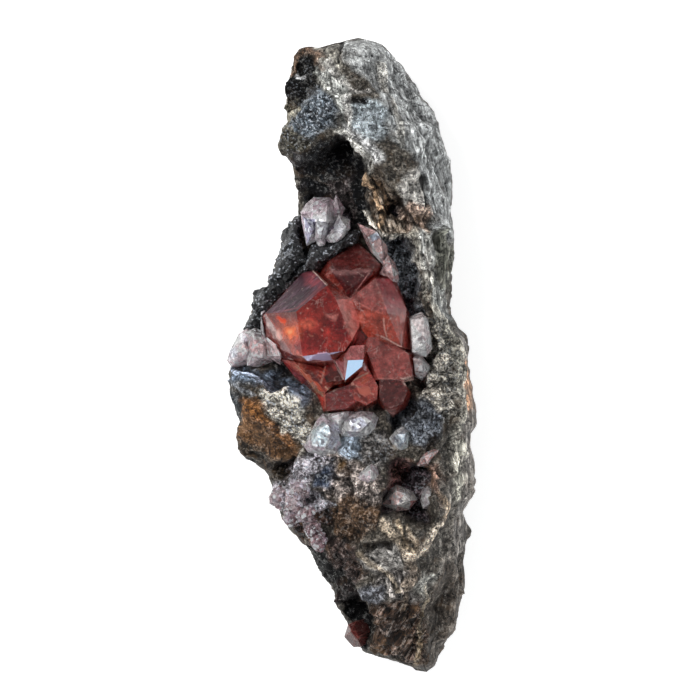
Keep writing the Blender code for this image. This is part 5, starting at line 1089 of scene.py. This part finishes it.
def faceted(name, node, edge, step, faces, elsewhere, worn, lines=()):
    """Copy of a crystal solid with whole flat faces, each in its own finish, and worn edges.

    Returns the mesh, cut into pieces no longer than step, twice as long low down in the rock
    and finer along the lines, with the linear colour and the roughness, mirror and frost of
    each face.
    """
    mesh = bmesh.new()
    mesh.from_mesh(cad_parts[node].data)
    bmesh.ops.remove_doubles(mesh, verts=mesh.verts[:], dist=WELD)
    bmesh.ops.dissolve_limit(mesh, angle_limit=SAME_FACE, verts=mesh.verts[:],
                             edges=mesh.edges[:])
    mesh.faces.ensure_lookup_table()
    tree = BVHTree.FromBMesh(mesh)
    planes = [(face.calc_center_median(), face.normal.copy(), 0) for face in mesh.faces]
    looks = [elsewhere, worn]
    for spot, *look in faces:
        _, _, index, _ = tree.ray_cast(Vector((*spot, OVERHEAD)) * METRES, Vector((0, 0, -1)))
        chosen_centre, chosen_normal, _ = planes[index]
        looks.append(look)
        for number, (centre, normal, _) in enumerate(planes):
            level = abs((centre - chosen_centre).dot(chosen_normal)) < FLUSH
            if level and normal.angle(chosen_normal, 1.0) < SAME_FACE:
                planes[number] = (centre, normal, len(looks) - 1)
    kind = mesh.faces.layers.int.new("kind")
    sharp = [e for e in mesh.edges if len(e.link_faces) == 2 and e.calc_face_angle(0) > SHARP]
    bmesh.ops.bevel(mesh, geom=sharp, offset=edge * METRES, offset_type="OFFSET",
                    segments=1, profile=0.5, affect="EDGES", clamp_overlap=True)
    for face in mesh.faces:
        centre, face[kind] = face.calc_center_median(), 1
        for plane_centre, plane_normal, look in planes:
            if (abs((centre - plane_centre).dot(plane_normal)) < FLUSH
                    and face.normal.angle(plane_normal, 1.0) < 2.0 * SAME_FACE):
                face[kind] = look
                if look:
                    break
    for _ in range(CUTS):
        bmesh.ops.triangulate(mesh, faces=mesh.faces[:])
        mesh.verts.index_update()
        ends = [(e.verts[0].index, e.verts[1].index) for e in mesh.edges]
        ends = np.array([v.co[:] for v in mesh.verts])[np.array(ends)] / METRES
        middles, lengths = ends.mean(axis=1), np.linalg.norm(ends[:, 1] - ends[:, 0], axis=-1)
        high = middles[:, 2] > OPEN_HEIGHT
        cut = lengths > np.where(high, step, DEEP_STEPS * step)
        for path, half_width, *_ in lines:
            near = beside(middles, path) < half_width + 0.5 * lengths + LINE_MARGIN
            cut |= near & high & (lengths > LINE_STEP)
        long_edges = [e for e, chosen in zip(mesh.edges, cut) if chosen]
        if not long_edges:
            break
        bmesh.ops.subdivide_edges(mesh, edges=long_edges, cuts=1)
    bmesh.ops.triangulate(mesh, faces=mesh.faces[:])
    data = bpy.data.meshes.new(name)
    mesh.to_mesh(data)
    mesh.free()
    kinds = np.empty(len(data.polygons), np.int32)
    data.attributes["kind"].data.foreach_get("value", kinds)
    data.attributes.remove(data.attributes["kind"])
    colours = np.array([through(look[0]) for look in looks])[kinds]
    traits = np.array([look[1:] for look in looks])[kinds]
    return data, colours, traits, kinds == 1


def points_of(mesh):
    """Place in metres of every point of a mesh."""
    points = np.empty(len(mesh.vertices) * 3)
    mesh.vertices.foreach_get("co", points)
    return points.reshape(-1, 3)


def corner_places(mesh):
    """Place in millimetres of every face corner of a triangle mesh, as faces x 3 x 3."""
    corners = np.empty(len(mesh.loops), np.int32)
    mesh.loops.foreach_get("vertex_index", corners)
    return points_of(mesh)[corners].reshape(-1, 3, 3) / METRES


def at_corners(values):
    """The values of each face, given to each of its three corners."""
    return np.repeat(values[:, None], 3, axis=1)


def put_corner_colours(mesh, name, values):
    """Store a colour at every face corner, from values per face corner of three channels."""
    layer = mesh.attributes.new(name, "FLOAT_COLOR", "CORNER")
    full = np.concatenate([values, np.ones(values.shape[:-1] + (1,))], axis=-1)
    layer.data.foreach_set("color", np.ascontiguousarray(full, dtype=np.float32).ravel())


def with_marks(places, colours, tints_and_painted_light, lines, stray):
    """Colours at face corners, with patches and lines laid on in plan: tints, painted light and
    shade.
    """
    shift = stray * strays(places, 1.3, 0.5, 121)
    marks = [(colour, cover * covered(places + shift, outline, softness))
             for outline, colour, cover, softness in tints_and_painted_light.values()]
    for path, half_width, colour, cover in lines.values():
        away = beside(places + LINE_STRAY * shift, path)
        marks.append((colour, cover * smooth(LINE_REACH - away / half_width)))
    for colour, share in marks:
        colours = colours + share[..., None] * (through(colour) - colours)
    return colours


def with_painted_flashes(places, colours, traits, flashes, flash_traits):
    """Colours and traits at face corners, with painted foil-like flashes laid over them in plan.
    """
    ragged = places + FLASH_STRAY * swell(places, 0.8, 125)[..., None]
    for outline, colour, softness in flashes.values():
        share = covered(ragged, outline, softness)[..., None]
        colours = colours + share * (daylight(colour) - colours)
        traits = traits + share * (np.array(flash_traits) - traits)
    return colours, traits


def clear_finish(name, ior, clearness, absorbed, density, frost_colour, frost_glint,
                 flaw_colour, mottle):
    """A clear crystal: scattering faces over a body that takes its colour out of the light.

    Streaks roughen a frosted face, specks and thin cracks show the flaw colour, and mottle
    breaks a face up into small bright and dark cells of ice-like stone.
    """
    finish = Finish(name)
    tint = finish.attribute("tint")
    rough, mirror, frost = finish.parts(finish.attribute("face"))
    place = finish.place()
    x, y, z = finish.parts(place)
    veil = finish.noise(place, 300.0, 5.0, 0.62, 0.6)
    cloud = finish.noise(place, 1100.0, 5.0, 0.68)
    streaks = finish.noise(finish.vector(y * 0.64 - x * 0.77, (x * 0.64 + y * 0.77) * 0.22,
                                         z * 0.8), 1500.0, 4.0, 0.65)
    calm = (1.0 - mirror + frost).clamped(0.0, 1.0)
    tone = ((veil - 0.5) * 2.0 + (cloud - 0.5) * 3.0) * calm
    colour = finish.brightened(tint, tone.maths("EXPONENT").clamped(0.2, 3.0))
    colour = finish.blend(colour, frost_colour, frost * streaks.between(0.42, 0.62) * 0.7)
    colour = finish.blend(colour, frost_glint, streaks.between(0.58, 0.68) * frost * mirror * 0.6)
    specks = finish.noise(place, 2600.0, 3.0, 0.6).between(0.64, 0.71)
    flaw = (finish.noise(place, 240.0, 3.0, 0.55, 0.4) - 0.5).maths("ABSOLUTE")
    flaws = specks * 0.6 * calm + flaw.between(0.007, 0.001) * 0.45 * (1.0 - mirror)
    colour = finish.blend(colour, flaw_colour, flaws.clamped(0.0, 0.8))
    height = (((veil - 0.5) * 0.00005 + (cloud - 0.5) * 0.00002) * calm
              + (streaks - 0.5) * frost * 0.00030)
    if mottle:
        ice = finish.noise(place, 2300.0, 5.0, 0.75)
        fall, draws = finish.facets(place, 1900.0)
        first, second, _ = finish.parts(draws)
        broken = ((ice - 0.5) * 5.0 * mottle).maths("EXPONENT").clamped(0.4, 1.6)
        colour = finish.brightened(colour, broken)
        colour = finish.blend(colour, ICE_BRIGHT, first.between(0.76, 0.84) * mottle)
        colour = finish.blend(colour, ICE_DARK, second.between(0.86, 0.93) * (0.7 * mottle))
        height = height + (fall * 0.6 + ice * 0.0001) * mottle
    finish.set(Base_Color=colour, Metallic=mirror * 0.85,
               Roughness=(rough + frost * streaks * 0.22 + (cloud - 0.5) * 0.15)
               .clamped(0.03, 0.8),
               IOR=ior, Transmission_Weight=clearness, Specular_IOR_Level=0.3)
    finish.bump(height, 0.8)
    body = finish.add("ShaderNodeVolumeAbsorption", {}, {"Color": absorbed, "Density": density})
    finish.put(finish.tree.nodes["Material Output"].inputs["Volume"], body)
    return finish.material


def crystals(name, mesh, node, finish, colours, traits):
    """A piece in the scene, with its finish and the colours and traits at its face corners."""
    put_corner_colours(mesh, "tint", colours)
    put_corner_colours(mesh, "face", traits)
    mesh.materials.append(finish)
    return in_scene(name, mesh, node)


ICE_BRIGHT = (0.94, 0.97, 1.0, 1.0)
ICE_DARK = (0.24, 0.18, 0.22, 1.0)

red_finish = clear_finish("clear_rhodochrosite", ior=1.6, clearness=0.62,
                          absorbed=(0.93, 0.20, 0.16, 1.0), density=90.0,
                          frost_colour=(0.06, 0.02, 0.04, 1.0),
                          frost_glint=(0.36, 0.20, 0.26, 1.0),
                          flaw_colour=(0.92, 0.60, 0.54, 1.0), mottle=0.0)
red_mesh, colours, traits, worn = faceted("red_crystals", "rhodochrosite_crystals", RED_EDGE,
                                          RED_STEP, RED_FACES.values(), RED_ELSEWHERE,
                                          RED_WORN, RED_LINES.values())
places = corner_places(red_mesh)
colours, traits = at_corners(colours), at_corners(traits)
painted = with_marks(places, colours, RED_PAINTED_LIGHT_SHADE_AND_VEILS, RED_LINES, RED_STRAY)
plain = traits[..., 1:2] * (1.0 - traits[..., 2:3])     # a mirror without frost shows none of the painted light and shade
painted += plain * (colours - painted)
painted[worn] += WORN_SHARE * (colours[worn] - painted[worn])
painted, traits = with_painted_flashes(places, painted, traits, RED_PAINTED_FLASHES, RED_FLASH_TRAITS)
reds = crystals("red_crystal_cluster", red_mesh, "rhodochrosite_crystals", red_finish,
                painted, traits)

FOOT_ELSEWHERE = ((90, 44, 42), 0.2, 0.0, 0.1)
FOOT_WORN = ((120, 66, 60), 0.3, 0.0, 0.0)
foot_mesh, colours, traits, _ = faceted("foot_crystal", "rhodochrosite_foot", RED_EDGE,
                                        RED_STEP, [], FOOT_ELSEWHERE, FOOT_WORN)
foot = crystals("red_foot_crystal", foot_mesh, "rhodochrosite_foot", red_finish,
                at_corners(colours), at_corners(traits))

# ------------------------------------------------------------------ the pale quartz
# Small clear quartz crystals round the pocket and in the vug below it, in groups that have
# grown together: lilac to pink, whitish where they are cracked, bright where a face is clean.

PALE_EDGE = 0.06            # width of a worn edge
PALE_STEP = 0.4             # longest edge of the mesh
# For each group: colours of its faces as seen out of 255.
QUARTZ_TINTS = {
    "quartz_top": [(206, 180, 192), (226, 226, 244), (168, 142, 154), (240, 240, 252)],
    "quartz_upper": [(196, 162, 160), (170, 134, 134), (226, 232, 244)],
    "quartz_left": [(206, 184, 188), (184, 160, 164), (230, 222, 232), (160, 136, 140)],
    "quartz_right": [(240, 230, 228), (210, 188, 188), (250, 246, 248)],
    "quartz_lower": [(206, 218, 238), (208, 192, 200), (234, 243, 253), (184, 168, 178)],
    "quartz_chip_right": [(216, 232, 250), (190, 202, 220)],
    "quartz_chip_middle": [(222, 204, 212), (196, 174, 182)],
    "quartz_vug_pink": [(232, 172, 168), (206, 138, 136), (238, 198, 194)],
    "quartz_vug_clear": [(234, 220, 222), (208, 192, 196)],
    "quartz_vug_upper": [(202, 158, 154), (180, 132, 128)],
}
QUARTZ_GAIN = 1.9           # quartz scatters less of the light than the red crystals do
QUARTZ_ELSEWHERE = ((200, 180, 182), 0.2, 0.0, 0.4)
QUARTZ_WORN = ((232, 224, 228), 0.3, 0.0, 0.2)
QUARTZ_STRAY = 0.2
# Clean bright faces, a painted reflection on the foot of the top group, and deeper tinted
# places: outline, colour, cover and softness.
QUARTZ_MARKS = {
    "top, lilac": ([(-8.9, 28.6), (-1.0, 28.6), (-0.4, 24.0), (-4.0, 23.6), (-8.9, 24.4)],
        (150, 128, 136), 0.7, 1.0),
    # painted reflection: the lower faces of the top group are painted pale
    "top, painted reflection on the foot": ([(-8.2, 23.6), (-5.0, 23.9), (-1.0, 23.9), (-0.6, 20.6), (-3.6, 18.0),
        (-7.6, 18.4)], (240, 238, 252), 0.6, 0.8),
    "top, ridge": ([(-7.4, 27.6), (-4.6, 26.6), (-3.6, 27.4), (-5.6, 28.2)], (206, 190, 200), 0.9,
        0.4),
    "lower right, veil": ([(-4.6, -10.6), (-1.6, -9.2), (3.6, -9.2), (2.6, -10.4), (-2.4, -10.9)],
        (240, 202, 206), 0.8, 0.6),
    "right, lower one": ([(9.2, -0.6), (11.8, -0.2), (12.0, -3.4), (9.6, -3.8)], (238, 196, 194),
        0.8, 0.5),
    "left, foot": ([(-20.6, 1.4), (-14.0, 0.2), (-9.0, -0.4), (-11.0, 2.2), (-16.0, 2.8)],
        (180, 140, 140), 0.8, 0.8),
    "left, crest": ([(-18.6, 6.6), (-12.6, 6.2), (-12.4, 4.4), (-15.6, 3.1), (-18.0, 4.4)],
        (74, 60, 64), 0.85, 0.8),
}
# Painted reflections: bright mirror patches laid on as if clean faces threw the light back:
# outline, colour and softness.
QUARTZ_PAINTED_FLASHES = {
    "top, first face": ([(-8.3, 23.8), (-6.2, 22.9), (-6.4, 20.9), (-7.7, 18.7)], (164, 164, 190),
        0.2),
    "top, second face": ([(-5.9, 23.4), (-3.7, 22.0), (-4.2, 20.2), (-5.9, 20.5)], (244, 248, 255),
        0.2),
    "top, third face": ([(-3.1, 22.9), (-0.6, 23.8), (-1.6, 20.9), (-3.2, 19.2)], (250, 251, 255),
        0.2),
    "lower left, face": ([(-7.0, -12.9), (-4.7, -11.0), (-3.7, -12.6), (-4.5, -15.4),
        (-6.9, -15.2)], (226, 245, 255), 0.25),
    "lower right, face": ([(-0.8, -10.8), (1.6, -10.4), (2.8, -12.0), (0.2, -12.8)],
        (204, 206, 222), 0.3),
    "chip, face": ([(6.9, -13.8), (8.9, -12.5), (9.2, -14.2), (8.2, -15.8)], (222, 236, 252), 0.3),
    "upper, face": ([(3.1, 20.4), (4.5, 21.0), (4.7, 19.9), (3.3, 19.2)], (190, 206, 226), 0.2),
    "left, spark": ([(-19.2, 3.9), (-17.9, 3.6), (-17.6, 2.2), (-19.0, 2.4)], (226, 220, 228),
        0.3),
    "left, tip": ([(-21.2, 1.2), (-19.6, 1.6), (-19.4, -0.4), (-21.0, -0.9)], (204, 208, 218),
        0.5),
    "lower left, side": ([(-3.5, -11.6), (-2.3, -11.6), (-2.0, -13.9), (-3.4, -16.0),
        (-4.2, -15.6)], (232, 232, 244), 0.3),
}
QUARTZ_FLASH_TRAITS = (0.45, 0.85, 0.3)


def face_ways(places):
    """The way that each triangle faces, with the length 1, and twice its size."""
    edges = places[:, 1:] - places[:, :1]
    way = np.cross(edges[:, 0], edges[:, 1])
    return unit(way), np.linalg.norm(way, axis=-1)


quartz_finish = clear_finish("clear_quartz", ior=1.54, clearness=0.55,
                             absorbed=(0.93, 0.82, 0.82, 1.0), density=30.0,
                             frost_colour=(0.76, 0.69, 0.74, 1.0),
                             frost_glint=(0.97, 0.98, 1.0, 1.0),
                             flaw_colour=(0.94, 0.94, 0.98, 1.0), mottle=0.85)
for node, tints in QUARTZ_TINTS.items():
    data, colours, traits, worn = faceted(node, node, PALE_EDGE, PALE_STEP, [],
                                          QUARTZ_ELSEWHERE, QUARTZ_WORN)
    places = corner_places(data)
    way, _ = face_ways(places)
    # Triangles of one flat face share a key, so they draw the same tint and roughness.
    level = np.sum(way * places[:, 0], axis=-1)
    key = np.round(np.concatenate([way * 6.0, level[:, None] * 1.5], -1)).astype(np.int64)
    pick, rest = [lattice_value(key[:, 0], key[:, 1], key[:, 2] + 17 * key[:, 3], seed)
                  for seed in (7, 8)]
    shades = np.array([through(tint, QUARTZ_GAIN) for tint in tints])
    drawn = shades[(pick * len(tints)).astype(int) % len(tints)]
    colours = at_corners(np.where(worn[:, None], colours, drawn))
    traits = at_corners(np.stack([0.06 + 0.28 * rest, np.zeros_like(rest), 0.1 + 0.5 * pick], -1))
    colours = with_marks(places, colours, QUARTZ_MARKS, {}, QUARTZ_STRAY)
    colours, traits = with_painted_flashes(places, colours, traits, QUARTZ_PAINTED_FLASHES,
                                   QUARTZ_FLASH_TRAITS)
    piece = crystals("pale_" + node, data, node, quartz_finish, colours, traits)

# ------------------------------------------------------------------ the pink crust
# A skin of small pale lilac quartz grains low on the left side: a lumpy crust with hundreds
# of six-sided grains standing on it, grown close together.

GRAINS = 420
GRAIN_SIZES = (0.28, 0.75)  # smallest and largest radius
GRAIN_SINK = 0.25           # how deep the middle of a grain lies in the crust
GRAIN_LEAN = 0.5            # how far it leans from straight out
GRAIN_TINTS = [(146, 130, 138), (114, 102, 108), (200, 192, 206), (128, 100, 102),
               (158, 134, 140)]
GRAIN_TRAITS = (0.18, 0.0, 0.5)
CORE_STEP = 0.8             # longest edge of the mesh of the crust under the grains
CORE_ELSEWHERE = ((170, 150, 154), 0.3, 0.0, 0.6)
LOWEST_BARE = -0.2          # no grain stands where the crust faces down more than this
DARK_FROM = -24.0           # along the rock, the crust turns dark from here
DARK_OVER = 6.0             # over this distance
DARK_SHARE = np.array([0.42, 0.56, 0.54])


def scattered(mesh, count, seed):
    """Even random places on the upper side of a triangle mesh, with the normals there.

    A triangle is drawn by its share of the area, and a spot in it from two numbers r and s:
    (1 - root r) first corner + root r (1 - s) second corner + root r s third corner.
    """
    places = corner_places(mesh)
    way, size = face_ways(places)
    total = np.cumsum(np.where(way[:, 2] > LOWEST_BARE, size, 0.0))
    number = np.arange(count)
    draws = [lattice_value(number, 3 * number, 0 * number, seed + n) for n in range(3)]
    face = np.searchsorted(total, draws[0] * total[-1] * 0.9999)
    root = np.sqrt(draws[1])[:, None]
    second = draws[2][:, None]
    spot = ((1 - root) * places[face, 0] + root * (1 - second) * places[face, 1]
            + root * second * places[face, 2])
    return spot, way[face]


def grains(spots, ways, radii, turns):
    """Corners and faces of six-sided crystals: a short prism under an off-centre pyramid.

    Corner n of a ring stands at angle turn + n * 60 degrees round the way that it grows;
    the rings lie at -1.0 and 0.35 radii, and the tip at 1.15 radii. Returns also how many
    faces each crystal has.
    """
    helper = np.where(np.abs(ways[:, 2:]) < 0.9, [[0.0, 0.0, 1.0]], [[1.0, 0.0, 0.0]])
    side = unit(np.cross(helper, ways))
    other = np.cross(ways, side)
    angle = turns[:, None] + np.arange(6) * math.pi / 3
    ring = (np.cos(angle)[..., None] * side[:, None] + np.sin(angle)[..., None]
            * other[:, None]) * radii[:, None, None]
    rise = ways * radii[:, None]
    low = spots[:, None] + 0.8 * ring - 1.0 * rise[:, None]
    high = spots[:, None] + ring + 0.35 * rise[:, None]
    tip = spots + 1.15 * rise + 0.25 * ring[:, 0]
    points = np.concatenate([low, high, tip[:, None]], axis=1)
    n = np.arange(6)
    m = (n + 1) % 6
    walls = np.concatenate([np.stack([n, m, m + 6], -1), np.stack([n, m + 6, n + 6], -1),
                            np.stack([n + 6, m + 6, np.full(6, 12)], -1),
                            np.stack([np.zeros(4, int), np.arange(2, 6), np.arange(1, 5)], -1)])
    faces = walls[None] + points.shape[1] * np.arange(len(spots))[:, None, None]
    return points.reshape(-1, 3), faces.reshape(-1, 3), len(walls)


def darkened(colours, along):
    """Colours that fall off to the dark ones low down on the crust."""
    low_down = smooth((DARK_FROM - along) / DARK_OVER)[:, None]
    return colours * (1.0 - low_down * DARK_SHARE)


core, core_colours, _, _ = faceted("crust_core", "pink_quartz_crust", PALE_EDGE, CORE_STEP, [],
                                   CORE_ELSEWHERE, QUARTZ_WORN)
spots, ways = scattered(core, GRAINS, 131)
number = np.arange(GRAINS)
draw = [lattice_value(number, 7 * number, 0 * number, 141 + n) for n in range(5)]
ways = unit(ways + GRAIN_LEAN * (np.stack(draw[:3], -1) - 0.5))
radii = GRAIN_SIZES[0] + (GRAIN_SIZES[1] - GRAIN_SIZES[0]) * draw[3] ** 2
grain_points, grain_faces, walls = grains(spots - GRAIN_SINK * ways, ways, radii, 6.0 * draw[4])
places = corner_places(core).reshape(-1, 3)
core_points, core_faces = np.unique(np.round(places, 5), axis=0, return_inverse=True)
crust_mesh = bpy.data.meshes.new("pink_crust")
crust_mesh.from_pydata(
    (np.concatenate([core_points, grain_points]) * METRES).tolist(), [],
    np.concatenate([core_faces.reshape(-1, 3), grain_faces + len(core_points)]).tolist())
shades = np.array([through(tint) for tint in GRAIN_TINTS])[(draw[2] * 4.99).astype(int)]
shades = np.repeat(darkened(shades, spots[:, 1]), walls, axis=0)
colours = np.concatenate([darkened(core_colours, places[::3, 1]), shades])
crust = crystals("pink_quartz_grains", crust_mesh, "pink_quartz_crust", quartz_finish,
                 at_corners(colours), np.tile(GRAIN_TRAITS, (len(colours), 3, 1)))
bpy.data.meshes.remove(core)

# ------------------------------------------------------------------ the black ore crystals
# Rough bars and knobs of black manganese ore that edge the pocket at its upper left. Their
# broken skin glitters, so the solid is given a fine even mesh and its surface is crumbled.

BLACK_GRAIN = 0.00024       # metres, size of the fine mesh
CRUMBLE_CHIPS = [(0.7, 2.4, 91, 50.0), (0.4, 1.1, 95, 50.0)]
CRUMBLE_SWELL = (0.07, 0.45, 97)
CRUMBLE_SINK = 0.08         # how much deeper than the solid the crumbled skin lies
# The groove between the long bar and the rim of the pocket.
VALLEY = [(-8.2, 21.0), (-8.6, 17.0), (-11.0, 13.8), (-13.6, 10.4)]
VALLEY_WIDTH = 1.1
VALLEY_DEPTH = 1.1
VALLEY_REACH = 1.4          # it ends this many widths from its middle
BLACK = (0.004, 0.005, 0.007, 1.0)
BLACK_SHEEN = (0.36, 0.38, 0.42, 1.0)
BLACK_GLINT = (0.74, 0.79, 0.88, 1.0)


def crumbled(name, node, grain, relief):
    """Copy of a solid in a fine even mesh, each point moved along its normal by relief(points)."""
    source = bpy.data.objects.new(name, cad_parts[node].data.copy())
    bpy.context.scene.collection.objects.link(source)
    welded = bmesh.new()
    welded.from_mesh(source.data)
    bmesh.ops.remove_doubles(welded, verts=welded.verts[:], dist=WELD)
    welded.to_mesh(source.data)
    welded.free()
    even = source.modifiers.new("even mesh", "REMESH")
    even.mode = "VOXEL"
    even.voxel_size = grain
    evaluated = source.evaluated_get(bpy.context.evaluated_depsgraph_get())
    data = bpy.data.meshes.new_from_object(evaluated)
    data.name = name
    bpy.data.objects.remove(source)
    points = points_of(data)
    normals = np.empty(points.size)
    data.vertex_normals.foreach_get("vector", normals)
    points += normals.reshape(-1, 3) * relief(points / METRES)[:, None] * METRES
    data.vertices.foreach_set("co", points.ravel())
    data.update()
    data.shade_smooth()
    data.materials.clear()
    return data


def in_valley(points):
    """1 in the groove, 0 away from it."""
    return smooth(VALLEY_REACH - beside(points, VALLEY) / VALLEY_WIDTH)


def ore_crumble(points):
    """Two sizes of broken faces and a fine grain, mostly inwards, in millimetres."""
    return (layered(points, CRUMBLE_CHIPS, CRUMBLE_SWELL) - CRUMBLE_SINK
            - VALLEY_DEPTH * in_valley(points))


def black_ore_finish():
    """Glossy black ore, with a painted grey sheen in patches, bluish white glints and painted
    shade in the groove.
    """
    finish = Finish("black_ore_glitter")
    place = finish.place()
    grain = finish.noise(place, 2100.0, 5.0, 0.7)
    clots = finish.noise(place, 420.0, 3.0, 0.6)
    fall, draws = finish.facets(place, 3400.0)
    shade = finish.parts(finish.attribute("shade"))[0]
    grey = (grain - 0.55) * 9.0 + (clots - 0.52) * 5.5 - shade * 0.6
    colour = finish.blend(BLACK, BLACK_SHEEN, grey.clamped(0.0, 1.0))
    struck = finish.parts(draws)[0].between(0.91, 0.95)
    colour = finish.blend(colour, BLACK_GLINT, struck * 0.75)
    finish.set(Base_Color=colour, Specular_IOR_Level=0.8,
               Roughness=(0.34 - struck * 0.15 + (grain - 0.5) * 0.5).clamped(0.12, 0.7))
    finish.bump(fall * 0.7 + grain * 0.0009 + clots * 0.0016, 0.9)
    return finish.material


black_mesh = crumbled("black_ore", "black_ore_crystals", BLACK_GRAIN, ore_crumble)
shade = in_valley(points_of(black_mesh) / METRES)
put_colours(black_mesh, "shade", np.repeat(shade[:, None], 4, axis=1))
blacks = in_scene("black_ore_bars", black_mesh, "black_ore_crystals")
black_mesh.materials.append(black_ore_finish())

# ------------------------------------------------------------------ floor, light and camera
# A plain white sheet, a large soft lamp high on the left, a weaker one on the right, a low one
# in front that the two mirror faces catch, and a camera straight above.

FLOOR_REACH = 3.0
FLOOR_COLOUR = (0.80, 0.80, 0.798, 1.0)
FLOOR_GLOW = 0.78           # the sheet is lit from behind, so that shadows on it are faint
ROOM_COLOUR = (0.97, 0.985, 1.0, 1.0)
ROOM_LIGHT = 0.36
# Each lamp: its place, its width and height in metres, its power in watts and its colour.
LAMPS = {
    "high_left_lamp": ((-0.37, 0.22, 0.61), (0.30, 0.30), 4.2, (1.0, 0.99, 0.97)),
    "right_lamp": ((0.44, -0.20, 0.58), (0.30, 0.30), 1.5, (0.97, 0.99, 1.0)),
    "low_front_lamp": ((0.02, -0.62, 0.16), (0.30, 0.14), 0.10, (0.80, 0.90, 1.0)),
}
LAMP_AIM = (0.0, 0.0, 0.02)
CAMERA_PLACE = (-0.00034, 0.000935, 0.848)
CAMERA_LENS = 250.0
CAMERA_SENSOR = 36.0

floor_mesh = bpy.data.meshes.new("floor")
floor_mesh.from_pydata([(-FLOOR_REACH, -FLOOR_REACH, 0), (FLOOR_REACH, -FLOOR_REACH, 0),
                        (FLOOR_REACH, FLOOR_REACH, 0), (-FLOOR_REACH, FLOOR_REACH, 0)],
                       [], [(0, 1, 2, 3)])
floor = bpy.data.objects.new("white_floor", floor_mesh)
bpy.context.scene.collection.objects.link(floor)
floor_finish = Finish("white_sheet")
floor_finish.set(Base_Color=FLOOR_COLOUR, Roughness=0.9, Specular_IOR_Level=0.0,
                 Emission_Color=FLOOR_COLOUR, Emission_Strength=FLOOR_GLOW)
floor_mesh.materials.append(floor_finish.material)

world = bpy.data.worlds.new("studio")
world.use_nodes = True
room = world.node_tree.nodes["Background"]
room.inputs["Color"].default_value = ROOM_COLOUR
room.inputs["Strength"].default_value = ROOM_LIGHT
bpy.context.scene.world = world
bpy.context.scene.view_settings.view_transform = "Standard"

for name, (place, size, power, colour) in LAMPS.items():
    lamp = bpy.data.lights.new(name, "AREA")
    lamp.shape = "RECTANGLE"
    lamp.size, lamp.size_y = size
    lamp.energy = power
    lamp.color = colour
    stand = bpy.data.objects.new(name, lamp)
    stand.location = place
    way = Vector(place) - Vector(LAMP_AIM)
    stand.rotation_euler = way.to_track_quat("Z", "Y").to_euler()
    bpy.context.scene.collection.objects.link(stand)

camera = bpy.data.cameras.new("camera")
camera.lens = CAMERA_LENS
camera.sensor_width = CAMERA_SENSOR
camera_body = bpy.data.objects.new("camera", camera)
camera_body.location = CAMERA_PLACE
bpy.context.scene.collection.objects.link(camera_body)
bpy.context.scene.camera = camera_body
